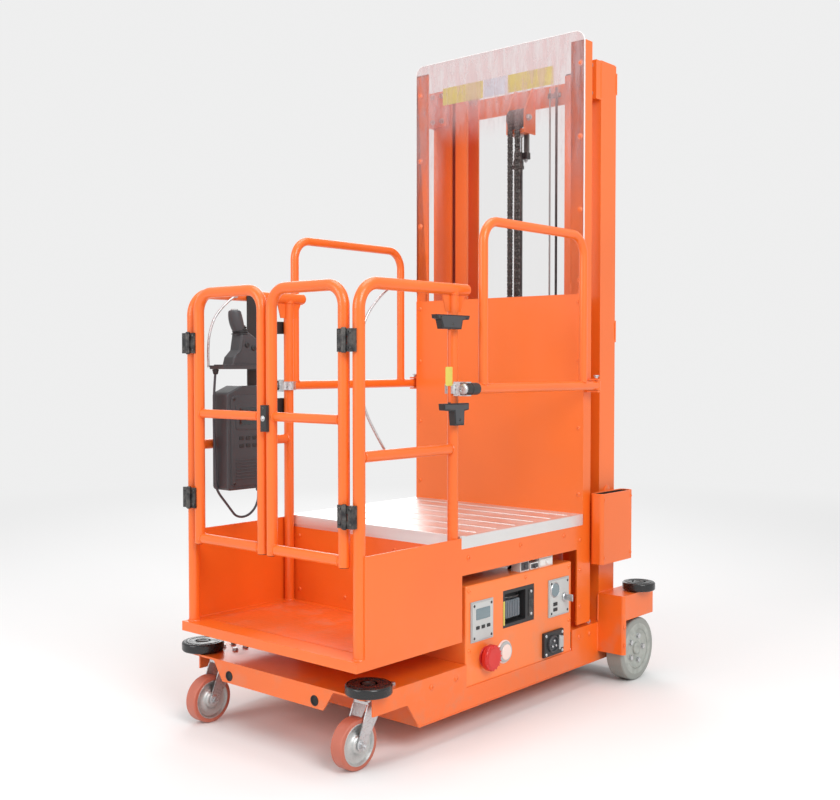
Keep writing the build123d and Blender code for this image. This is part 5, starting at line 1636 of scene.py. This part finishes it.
@dataclass
class Cover:
    """What the power unit's cover carries on its right face, and its louvres and screws."""

    x: float = 0.392
    plate_x: float = 0.396
    front_plate: tuple = (-0.226, -0.111, 0.286, 0.415)
    rear_plate: tuple = (0.207, 0.332, 0.291, 0.421)
    room_floor: float = 0.362
    stop: tuple = (-0.145, 0.228)
    stop_face: float = 0.426
    button: tuple = (-0.048, 0.225)
    button_face: float = 0.402
    dial: tuple = (0.240, 0.385)
    key: tuple = (0.298, 0.352)
    socket: tuple = (0.010, 0.358)
    charge: tuple = (0.172, 0.290, 0.159, 0.243)
    charge_face: float = 0.404
    top: float = 0.470
    plugs: tuple = ((0.061, 0.110, 0.034), (0.119, 0.166, 0.022), (0.172, 0.252, 0.032))

    def build(self) -> None:
        """Make the cover's pieces."""
        self._gauges()
        self._socket()
        self._buttons()
        self._charge_port()
        self._plugs()
        self._panels()

    def _frame(self, box: tuple, depth: float, rim: float, radius: float) -> Patch:
        """A rounded plate over a box, smaller by the rim.

        Args:
            box: its y and z ranges, as (y0, y1, z0, z1).
            depth: how far it stands out.
            rim: how much smaller than the box it is on each side.
            radius: its corners' radius.

        Returns:
            The plate, in the model's frame.
        """
        y0, y1, z0, z1 = box
        outline = rounded((y1 - y0) / 2 - rim, (z1 - z0) / 2 - rim, radius)
        shape = plate(outline, 0.0, depth, min(0.0012, depth * 0.6))
        return shape.at((self.plate_x, (y0 + y1) / 2, (z0 + z1) / 2), Facing.RIGHT)

    def _gauges(self) -> None:
        """Charge display on the front plate; key switch and hour meter on the rear plate."""
        make_piece("gauge_bezels", [self._frame(self.front_plate, 0.0028, 0.005, 0.008),
                                    self._frame(self.rear_plate, 0.0028, 0.005, 0.008)],
                   Finish.BEZEL_PLASTIC, "chassis")
        face = self.plate_x + 0.0028
        screen = plate(rounded(0.036, 0.018, 0.003), 0.0, 0.0016,
                       0.0006).at((face, -0.168, 0.374), Facing.RIGHT)
        dial = lathe([(0.0235, 0.0), (0.0235, 0.003), (0.0215, 0.0042), (0.0200, 0.0030),
                      (0.0005, 0.0030)], 40)
        make_piece("gauge_glass", [screen, dial.at((face, *self.dial), Facing.RIGHT)],
                   Finish.GAUGE_GLASS, "chassis")
        rim = lathe([(0.0265, 0.0), (0.0265, 0.0022), (0.0250, 0.0040), (0.0236, 0.0030),
                     (0.0236, 0.0)], 40)
        barrel = lathe([(0.0155, 0.0), (0.0155, 0.0055), (0.0135, 0.0075), (0.0105, 0.0072),
                        (0.0100, 0.0040), (0.0005, 0.0040)], 36)
        rings = [rim.at((face, *self.dial), Facing.RIGHT),
                 barrel.at((face, *self.key), Facing.RIGHT)]
        make_piece("gauge_rings", rings, Finish.ZINC, "chassis")
        key = [plate(rounded(0.0016, 0.0100, 0.0008), 0.0, 0.018, 0.0006),
               plate(rounded(0.0022, 0.0120, 0.002), 0.016, 0.032, 0.0008, True)]
        make_piece("ignition_key", [part.at((face + 0.004, *self.key), Facing.RIGHT)
                                    for part in key], Finish.ZINC, "chassis")
        small = plate(rounded(0.0085, 0.0055, 0.002), 0.0, 0.0022, 0.001)
        large = plate(rounded(0.012, 0.006, 0.002), 0.0, 0.0024, 0.001)
        pads = [small.at((face, y, 0.331), Facing.RIGHT) for y in (-0.196, -0.168, -0.140)]
        pads += [large.at((face, 0.242, z), Facing.RIGHT) for z in (0.335, 0.316)]
        make_piece("gauge_pads", pads, Finish.BLACK_PLASTIC, "chassis")
        corners = [(face - 0.0004, y, z) for y0, y1, z0, z1 in (self.front_plate, self.rear_plate)
                   for y in (y0 + 0.013, y1 - 0.013) for z in (z0 + 0.013, z1 - 0.013)]
        make_piece("gauge_screws", [bolts(Head.SCREW, 0.0050, corners, Facing.RIGHT)],
                   Finish.DARK_STEEL, "chassis")

    def _socket(self) -> None:
        """The battery plug: a ribbed block with a bow, a yellow edge strip and a screwed shelf."""
        y, z = self.socket
        body = plate(rounded(0.040, 0.030, 0.005), 0.0, 0.024,
                     0.003).at((self.room_floor, y, z), Facing.RIGHT)
        tooth = plate(rounded(0.0035, 0.026, 0.001), 0.0, 0.0265, 0.001)
        teeth = [tooth.at((self.room_floor, y + dy, z), Facing.RIGHT)
                 for dy in (-0.028, -0.014, 0.0, 0.014, 0.028)]
        make_piece("battery_plug", [body, *teeth], Finish.PLUG_PLASTIC, "chassis")
        turn = np.linspace(0.0, math.pi, 15)
        bow = [(self.room_floor + 0.012 + 0.016 * math.sin(a), y - 0.038 * math.cos(a), 0.398)
               for a in turn]
        make_piece("plug_bow", [tube(bow, 0.0036, (0, 0, 1), 10)], Finish.DARK_STEEL, "chassis")
        strip = plate(rounded(0.0040, 0.040, 0.002), 0.0, 0.0030, 0.001)
        make_piece("socket_trim", [strip.at((self.x - 0.002, -0.0468, 0.350), Facing.RIGHT)],
                   Finish.LABEL_YELLOW, "chassis")
        shelf = plate(rounded(0.014, 0.046, 0.003), 0.0, 0.0024, 0.001)
        make_piece("socket_shelf_plate", [shelf.at((self.x - 0.0005, 0.105, 0.363), Facing.RIGHT)],
                   Finish.DARK_STEEL, "chassis")
        screws = [(self.x + 0.0018, 0.105, z) for z in (0.325, 0.401)]
        make_piece("socket_screws", [bolts(Head.DOME, 0.0055, screws, Facing.RIGHT)], Finish.ZINC,
                   "chassis")

    def _buttons(self) -> None:
        """The stop button's ring, dished cap and grip ribs; the pale button's bezel and lens."""
        y, z = self.stop
        ring = lathe([(0.034, -0.001), (0.034, 0.0022), (0.032, 0.0040), (0.026, 0.0040),
                      (0.026, -0.001)], 48)
        make_piece("stop_ring", [ring.at((self.x, y, z), Facing.RIGHT)], Finish.RED_PLASTIC,
                   "chassis")
        face = self.stop_face
        dish = lathe([(0.0330, -0.0004), (0.0325, 0.0012), (0.0290, 0.0016), (0.0180, 0.0004),
                      (0.0005, -0.0002)], 48)
        angle = np.linspace(0.0, math.tau, 16, endpoint=False)
        rib = plate(rounded(0.0022, 0.0060, 0.002), 0.0, 0.0016, 0.001)
        ribs = [rib.moved(y=0.0365).spun(math.degrees(a)).at((face - 0.0016, y, z), Facing.RIGHT)
                for a in angle]
        make_piece("stop_cap", [dish.at((face, y, z), Facing.RIGHT), *ribs], Finish.RED_PLASTIC,
                   "chassis")
        y, z = self.button
        bezel = lathe([(0.0385, -0.001), (0.0385, 0.003), (0.0365, 0.0052), (0.0345, 0.0052),
                       (0.0345, -0.001)], 48)
        make_piece("button_bezel", [bezel.at((self.x, y, z), Facing.RIGHT)], Finish.LENS, "chassis")
        lens = lathe([(0.0255, 0.0), (0.0255, 0.0018), (0.0240, 0.0032), (0.0130, 0.0046),
                      (0.0005, 0.0050)], 48)
        make_piece("button_lens", [lens.at((self.button_face, y, z), Facing.RIGHT)], Finish.LENS,
                   "chassis")

    def _charge_port(self) -> None:
        """The inlet's collar, three pins in its well, a latch with its hinge and corner screws."""
        y0, y1, z0, z1 = self.charge
        middle = ((y0 + y1) / 2 - 0.012, (z0 + z1) / 2)
        face = self.charge_face
        collar_ring = lathe([(0.0290, -0.001), (0.0290, 0.006), (0.0270, 0.0085), (0.0245, 0.0085),
                             (0.0235, 0.0025), (0.0005, 0.0025)],
                            44).at((face, *middle), Facing.RIGHT)
        make_piece("charge_collar", [collar_ring], Finish.CONSOLE_PLASTIC, "chassis")
        angle = np.linspace(math.pi / 2, math.pi / 2 + math.tau, 3, endpoint=False)
        pin = lathe([(0.0042, 0.0), (0.0042, 0.0070), (0.0034, 0.0078), (0.0005, 0.0080)], 18)
        pins = [pin.at((face + 0.002, middle[0] + 0.012 * math.cos(a),
                        middle[1] + 0.012 * math.sin(a)), Facing.RIGHT) for a in angle]
        corners = [(face, y, z) for y in (y0 + 0.010, y1 - 0.010) for z in (z0 + 0.010, z1 - 0.010)]
        make_piece("charge_pins", [*pins, bolts(Head.SCREW, 0.0058, corners, Facing.RIGHT)],
                   Finish.ZINC, "chassis")
        latch = plate(rounded(0.010, 0.020, 0.003), 0.0, 0.007,
                      0.002).at((face, y1 - 0.021, middle[1]), Facing.RIGHT)
        hinge = tube([(face + 0.004, y1 - 0.033, middle[1] + z) for z in (-0.024, 0.0, 0.024)],
                     0.0038, (1, 0, 0), 14)
        make_piece("charge_latch", [latch, hinge], Finish.GREY_PLASTIC, "chassis")

    def _plugs(self) -> None:
        """Caps and leads of the plug blocks on the cover's top."""
        caps, leads = [], []
        knob = lathe([(0.0075, 0.0), (0.0075, 0.003), (0.0055, 0.0055), (0.0005, 0.006)], 18)
        turn = np.linspace(0.0, math.pi / 2, 7)
        for y0, y1, height in self.plugs:
            middle, half = (y0 + y1) / 2, (y1 - y0) / 2
            cap = plate(rounded(half - 0.004, height / 2 - 0.004, 0.003), 0.0, 0.0026, 0.0012)
            caps.append(cap.at((0.380, middle, self.top + height / 2), Facing.RIGHT))
            caps.append(knob.at((0.3825, middle, self.top + height / 2), Facing.RIGHT))
            bend = [(0.330 - 0.018 * math.sin(a), middle,
                     self.top + 0.010 - 0.018 * (1 - math.cos(a))) for a in turn]
            leads.append(tube([(0.343, middle, 0.480), *bend], 0.0052, (0, 1, 0), 12))
        make_piece("plug_caps", caps[4:], Finish.WHITE_PLASTIC, "chassis")
        make_piece("plug_caps_dark", caps[:4], Finish.CONSOLE_PLASTIC, "chassis")
        make_piece("plug_leads", leads, Finish.HOSE, "chassis")

    def _panels(self) -> None:
        """Screws round the cover's sides, and louvres on its left side."""
        right = [(self.x, y, z) for y, z in ((-0.232, 0.452), (0.338, 0.452), (-0.232, 0.262),
                                             (0.338, 0.262), (0.075, 0.452))]
        left = [(-x, y, z) for x, y, z in right]
        # the cover's screws and louvres take its lighter orange, painted light
        make_piece("cover_screws", [bolts(Head.DOME, 0.0075, right, Facing.RIGHT), bolts(
            Head.DOME, 0.0075, left, Facing.LEFT)], Finish.COVER_ORANGE_PAINTED_LIGHT, "chassis")
        slot = plate(rounded(0.060, 0.0030, 0.0028), 0.0, 0.0020, 0.0012)
        louvres = [slot.at((-self.x, y, z), Facing.LEFT) for y in (-0.105, 0.205)
                   for z in np.arange(0.320, 0.420, 0.012)]
        make_piece("cover_louvres", louvres, Finish.COVER_ORANGE_PAINTED_LIGHT, "chassis")


@dataclass
class Base:
    """The base's bolts, welds and hole rims with painted shade, the motors' trim, and the document
    box's lip and painted shade.
    """

    half: float = 0.396
    top: float = 0.222
    front: float = -0.716
    holes: tuple = (0.195, 0.178, 0.013)
    housing_y: float = 0.526
    housing_top: float = 0.330
    housing_face: float = 0.505
    skirt_foot: float = 0.0835
    fork: tuple = (0.332, -0.636, 0.208)
    box: tuple = (0.428, 0.5665, 0.700)
    axle_y: float = 0.651
    wheel_r: float = 0.115

    def build(self) -> None:
        """Make the base's pieces."""
        self._bolts()
        self._seams()
        self._hole_rims_and_shade()
        self._document_box()
        self._motor_trim()

    def _bolts(self) -> None:
        """Bolts of the caster seats and mast feet, and screws in the skirts and housings."""
        seats = [(side * x, y, self.top) for side in BOTH for x in (0.300, 0.362)
                 for y in (-0.604, -0.560)]
        mast = [(side * x, y, self.top) for side in BOTH for x in (0.328, 0.368)
                for y in (0.500, 0.664)]
        fork_x, fork_y, fork_z = self.fork
        under = [(side * (fork_x + x), fork_y + y, fork_z) for side in BOTH for x in (-0.040, 0.040)
                 for y in (-0.033, 0.033)]
        side_holes = [(self.half, y, 0.190) for y in (0.400, 0.470, -0.300, -0.420)]
        housing = [(self.housing_face, 0.5335, z) for z in (0.150, 0.215)]
        make_piece("base_bolts", [
            bolts(Head.HEX, 0.010, seats, Facing.UP), bolts(Head.HEX, 0.012, mast, Facing.UP),
            bolts(Head.NUT, 0.008, under, Facing.DOWN)], Finish.ZINC, "chassis")
        painted = [bolts(Head.DOME, size, [(side * x, y, z) for x, y, z in places], facing)
                   for size, places in ((0.009, side_holes), (0.007, housing))
                   for side, facing in ((1.0, Facing.RIGHT), (-1.0, Facing.LEFT))]
        make_piece("base_screws", painted, Finish.BODY_ORANGE, "chassis")

    def _seams(self) -> None:
        """Beads where the skirts, cross plate and housings meet the base."""
        seams = [bead([(-0.228, self.front + 0.006, 0.2155), (0.228, self.front + 0.006, 0.2155)],
                      0.0026)]
        for side in BOTH:
            x, y, z = side * self.half, self.housing_y, self.housing_top - 0.001
            seams.append(bead([(x, y, 0.224), (x, y, 0.328)], 0.0030, (1, 0, 0)))
            seams.append(bead([(x, y - 0.001, 0.120), (x, y - 0.001, 0.218)], 0.0030, (1, 0, 0)))
            seams.append(bead([(x - side * 0.001, 0.530, z), (x - side * 0.001, 0.634, z)], 0.0030))
            seams.append(bead([(x, y, self.skirt_foot) for y in (-0.472, 0.0, 0.520)], 0.0020))
        make_piece("base_welds", seams, Finish.BODY_ORANGE, "chassis")

    def _hole_rims_and_shade(self) -> None:
        """Dark turned rims round the two holes in the cross plate, each closed by a black cup that
        paints the shade inside the hole.
        """
        x, z, radius = self.holes
        # painted shade: the cup sinks 12 mm into the hole and closes it with black
        rim_and_shade_cup = lathe([(radius + 0.0030, -0.001), (radius + 0.0030, 0.0016),
                        (radius + 0.0010, 0.0024), (radius - 0.0012, 0.0010),
                        (radius - 0.0012, -0.012), (0.0005, -0.012)], 32)
        make_piece("hole_rims_painted_shade", [rim_and_shade_cup.at((side * x, self.front, z), Facing.FRONT)
                                    for side in BOTH], Finish.PAINTED_SHADE_BLACK, "chassis")

    def _document_box(self) -> None:
        """A rolled lip round the box's mouth, a black sheet inside its walls as painted shade, and
        its rivets.
        """
        x, y, mouth = self.box
        lip = [(x + u, y + v, mouth) for u, v in rounded(0.0247, 0.1062, 0.0132, 7)]
        make_piece("document_box_lip", [tube(lip, 0.0024, (0, 0, 1), 8, closed=True)],
                   Finish.BODY_ORANGE, "chassis")
        # painted shade: a thin black sheet over the box's inner walls and floor, for the shade
        # inside the open box
        outline = rounded(0.0232, 0.1047, 0.0112, 6)
        wall = [np.column_stack([outline, np.full(len(outline), z)]) for z in (0.4502, 0.6985)]
        inner = [np.column_stack([inset(outline, 0.0012), np.full(len(outline), z)])
                 for z in (0.6985, 0.4516)]
        box_shade_sheet = grid(np.array([*wall, *inner])).moved(x, y)
        make_piece("document_box_painted_shade", [box_shade_sheet], Finish.PAINTED_SHADE_BLACK, "chassis")
        rivets = [(0.4545, y, z) for y in (0.475, 0.658) for z in (0.470, 0.680)]
        make_piece("document_rivets", [bolts(Head.SCREW, 0.0055, rivets, Facing.RIGHT)],
                   Finish.BODY_ORANGE, "chassis")

    def _motor_trim(self) -> None:
        """End caps, cooling ribs and flange screws of the two drive motors, seen from below."""
        ribs, screws = [], []
        ring = lathe([(0.0450, -0.0016), (0.0485, -0.0012), (0.0485, 0.0012), (0.0450, 0.0016)], 36)
        for side in BOTH:
            ribs += [ring.at((side * x, self.axle_y, self.wheel_r), Facing.RIGHT)
                     for x in np.arange(0.215, 0.345, 0.010)]
            cap = lathe(fillet_profile(0.040, -0.001, 0.010, 0.008), 36)
            ribs.append(cap.at((side * 0.190, self.axle_y, self.wheel_r), outward(-side)))
            path = ring_path((side * 0.3895, self.axle_y, self.wheel_r), 0.055, Facing.RIGHT, 6)
            screws.append(bolts(Head.HEX, 0.008, [tuple(p) for p in path], outward(-side)))
        make_piece("motor_ribs", ribs, Finish.DARK_STEEL, "chassis")
        make_piece("motor_screws", screws, Finish.ZINC, "chassis")


@dataclass
class Wheels:
    """Caster cores, nuts and races, drive wheel discs and bolts, corner rollers' caps and rings."""

    caster: tuple = (0.332, -0.691, 0.075)
    swivel: tuple = (0.332, -0.636)
    race_z: float = 0.1958
    crown_z: float = 0.1940
    crown_bolt_z: float = 0.1857
    drive_face: float = 0.489
    axle: tuple = (0.651, 0.115)
    front_roller: tuple = (0.377, -0.676, 0.225, 0.069)
    rear_roller: tuple = (0.486, 0.664, 0.333, 0.060)

    def build(self) -> None:
        """Make the wheels' pieces."""
        for name, side in SIDES:
            self._caster(name, side)
            self._drive(name, side)
            self._rollers(name, side)

    def _caster(self, name: str, side: float) -> None:
        """The dished core in place of the hub, axle nuts, the race under the base and the crown.

        Args:
            name: the side's name, left or right.
            side: its sign along x, -1 or 1.
        """
        x, y, z = self.caster
        x *= side
        half = [(0.0621, 0.0218), (0.0612, 0.0225), (0.0585, 0.0222), (0.0565, 0.0195),
                (0.0540, 0.0140), (0.0480, 0.0122), (0.0380, 0.0128), (0.0310, 0.0150),
                (0.0275, 0.0190), (0.0255, 0.0232), (0.0225, 0.0250), (0.0160, 0.0256),
                (0.0062, 0.0256)]
        profile = [*half, *[(radius, -height) for radius, height in reversed(half)]]
        ring = lathe(profile, 48)
        ring = grid(ring.points.reshape(len(profile), 48, 3), along=True)
        hub = make_piece(f"caster_core_{name}", [ring.at((x, y, z), Facing.RIGHT)], Finish.CAST_HUB,
                         f"caster_wheel_{name}")
        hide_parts(f"caster_hub_{name}")
        for direction, facing in ((1.0, Facing.RIGHT), (-1.0, Facing.LEFT)):
            tag = "out" if direction == side else "in"
            nut = fastener(Head.NUT if direction == side else Head.HEX, 0.0110)
            cup = lathe([(0.0168, -0.0005), (0.0168, 0.0014), (0.0150, 0.0024), (0.0110, 0.0026)],
                        32)
            make_piece(f"caster_nut_{name}_{tag}", [nut.at((x + direction * 0.0330, y, z), facing),
                                                    cup.at((x + direction * 0.0305, y, z), facing)],
                       Finish.ZINC, f"caster_swivel_{name}")
        race = lathe([(0.0325, 0.0), (0.0345, 0.0010), (0.0345, 0.0055), (0.0325, 0.0065)], 40)
        x, y = side * self.swivel[0], self.swivel[1]
        make_piece(f"caster_race_{name}", [race.at((x, y, self.race_z), Facing.UP)], Finish.ZINC,
                   "chassis")
        crown = lathe([(0.0250, -0.002), (0.0290, -0.0012), (0.0290, 0.0008), (0.0250, 0.0014)], 36)
        under = [(x + u, y + 0.018, self.crown_bolt_z) for u in (-0.022, 0.022)]
        make_piece(f"caster_crown_{name}", [crown.at((x, y, self.crown_z), Facing.UP), bolts(
            Head.HEX, 0.006, under, Facing.DOWN)], Finish.ZINC, f"caster_swivel_{name}")

    def _drive(self, name: str, side: float) -> None:
        """The wheel's stepped disc, five bolts and a hub cap on its outer face.

        Args:
            name: the side's name, left or right.
            side: its sign along x, -1 or 1.
        """
        y, z = self.axle
        face = side * (self.drive_face - 0.008)
        facing = outward(side)
        body = f"drive_wheel_{name}"
        rim = lathe([(0.0745, -0.001), (0.0735, 0.0065), (0.0700, 0.0075), (0.0650, 0.0030),
                     (0.0600, 0.0008), (0.0380, 0.0004), (0.0340, 0.0030), (0.0300, 0.0036),
                     (0.0280, 0.0015), (0.0005, 0.0015)], 56)
        make_piece(f"drive_disc_{name}", [rim.at((face, y, z), facing)], Finish.WHEEL_GREY, body)
        ring = ring_path((face + side * 0.0005, y, z), 0.0470, facing, 5)
        cap = lathe([(0.0220, 0.0), (0.0220, 0.0040), (0.0190, 0.0070), (0.0100, 0.0078),
                     (0.0005, 0.0080)], 36)
        make_piece(f"drive_bolts_{name}",
                   [bolts(Head.HEX, 0.0100, [tuple(p) for p in ring], facing)], Finish.ZINC, body)
        make_piece(f"drive_cap_{name}", [cap.at((face + side * 0.0010, y, z), facing)],
                   Finish.WHEEL_GREY, body)

    def _rollers(self, name: str, side: float) -> None:
        """A dished cap over each corner roller's pin and a turned groove ring on its top.

        Args:
            name: the side's name, left or right.
            side: its sign along x, -1 or 1.
        """
        for place, (x, y, low, radius), lid in (("front", self.front_roller, 0.254),
                                                ("rear", self.rear_roller, 0.362)):
            cap = lathe([(0.0198, -0.0002), (0.0198, 0.0008), (0.0175, 0.0022), (0.0110, 0.0026),
                         (0.0100, 0.0012), (0.0005, 0.0012)], 36).at((side * x, y, lid), Facing.UP)
            make_piece(f"roller_cap_{place}_{name}", [cap], Finish.DARK_STEEL, "chassis")
            groove = lathe([(radius - 0.0130, -0.001), (radius - 0.0130, 0.0010),
                            (radius - 0.0150, 0.0014), (radius - 0.0200, 0.0014),
                            (radius - 0.0220, 0.0010), (radius - 0.0220, -0.001)], 56)
            make_piece(f"roller_ring_{place}_{name}",
                       [groove.at((side * x, y, low + 0.030), Facing.UP)], Finish.ROLLER_RUBBER,
                       f"roller_{place}_{name}")


def dress_nodes() -> None:
    """Give every carried-over node its finish."""
    for finish, names in NODE_FINISHES.items():
        for name in names:
            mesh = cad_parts[name].data
            mesh.materials.clear()
            mesh.materials.append(finish.material())
    bare = set(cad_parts) - {name for names in NODE_FINISHES.values() for name in names}
    if bare:
        LOG.warning("nodes without a finish: %s", sorted(bare))


# ---------------------------------------------------------------- studio


@dataclass
class Studio:
    """A pale floor that fades into an even background, soft lamps and the camera."""

    eye: Vec = (2.543, -2.959, 1.168)
    azimuth: float = 40.82
    tilt_down: float = 1.85
    lens: float = 47.47
    floor_size: float = 60.0
    pale: Colour = (0.86, 0.86, 0.86)
    ambient: float = 0.55
    lamps: tuple[tuple[str, Vec, Vec, float, float], ...] = (
        ("key", (5.5, -2.2, 4.6), (0.0, 0.0, 1.0), 3.2, 260.0),
        ("front", (-1.5, -6.5, 3.4), (0.0, 0.0, 1.0), 3.4, 170.0),
        ("top", (0.0, 0.0, 6.5), (0.0, 0.0, 0.0), 4.0, 150.0),
        ("back", (-4.5, 4.5, 3.5), (0.0, 0.0, 1.0), 3.5, 120.0),
    )

    def build(self) -> None:
        """Make the floor, world, lamps and camera."""
        self._floor()
        self._world()
        for lamp in self.lamps:
            self._lamp(*lamp)
        self._camera()

    def _floor(self) -> None:
        """A flat square: points (u, v, 0) on a grid of two by two."""
        half = self.floor_size / 2
        mesh = bpy.data.meshes.new("floor")
        mesh.from_pydata([(-half, -half, 0), (half, -half, 0), (half, half, 0), (-half, half, 0)],
                         [], [(0, 1, 2, 3)])
        floor = bpy.data.objects.new("floor", mesh)
        bpy.context.scene.collection.objects.link(floor)
        material = bpy.data.materials.new("floor_paint")
        graph = Graph(material)
        x, y = graph.axis("X"), graph.axis("Y")
        reach = (x * x + y * y) ** 0.5
        lit = graph.add("ShaderNodeBsdfDiffuse", {}, {"Color": (*self.pale, 1.0)})
        plain = graph.add("ShaderNodeEmission", {}, {"Color": (*self.pale, 1.0), "Strength": 1.0})
        blend = graph.add("ShaderNodeMixShader", {}, {0: reach.ramp(2.2, 7.5), 1: lit, 2: plain})
        graph.add("ShaderNodeOutputMaterial", {}, {"Surface": blend})
        mesh.materials.append(material)

    def _world(self) -> None:
        """An even world that shows the pale background to camera, gloss and glass."""
        world = bpy.data.worlds.new("studio")
        bpy.context.scene.world = world
        graph = Graph(world)
        seen = graph.add("ShaderNodeLightPath", output="Is Camera Ray")
        gloss = graph.add("ShaderNodeLightPath", output="Is Glossy Ray")
        through = graph.add("ShaderNodeLightPath", output="Is Transmission Ray")
        shown = seen.math("MAXIMUM", seen, gloss.math("MAXIMUM", gloss, through))
        strength = shown * (1.0 - self.ambient) + self.ambient
        sky = graph.add("ShaderNodeBackground", {},
                        {"Color": (*self.pale, 1.0), "Strength": strength})
        graph.add("ShaderNodeOutputWorld", {}, {"Surface": sky})

    @staticmethod
    def _aim(thing: bpy.types.Object, target: Vec) -> None:
        """Turn a lamp so that it shines at a point."""
        away = Vector(target) - thing.location
        thing.rotation_euler = away.to_track_quat("-Z", "Y").to_euler()

    def _lamp(self, name: str, place: Vec, target: Vec, size: float, power: float) -> None:
        """A square soft box.

        Args:
            name: its name.
            place: where it stands.
            target: the point that it shines at.
            size: the length of its side.
            power: its power in watts.
        """
        data = bpy.data.lights.new(name, "AREA")
        data.size = size
        data.energy = power
        lamp = bpy.data.objects.new(name, data)
        lamp.location = place
        bpy.context.scene.collection.objects.link(lamp)
        self._aim(lamp, target)

    def _camera(self) -> None:
        """The camera at the photograph's viewing point."""
        data = bpy.data.cameras.new("camera")
        data.lens = self.lens
        data.sensor_width = 36.0
        camera = bpy.data.objects.new("camera", data)
        camera.location = self.eye
        camera.rotation_euler = (math.radians(90.0 - self.tilt_down), 0.0,
                                 math.radians(self.azimuth))
        bpy.context.scene.collection.objects.link(camera)
        bpy.context.scene.camera = camera


def main() -> None:
    """Build the truck's dress in order."""
    logging.basicConfig(level=logging.INFO, format="%(message)s")
    bpy.context.scene.view_settings.view_transform = "Standard"
    dress_nodes()
    for assembly in (Mast(), Screen(), Deck(), Guards(), Console(), Cover(), Base(), Wheels(),
                     Studio()):
        assembly.build()
        LOG.info("%s built", type(assembly).__name__)


if __name__ == "__main__":
    main()
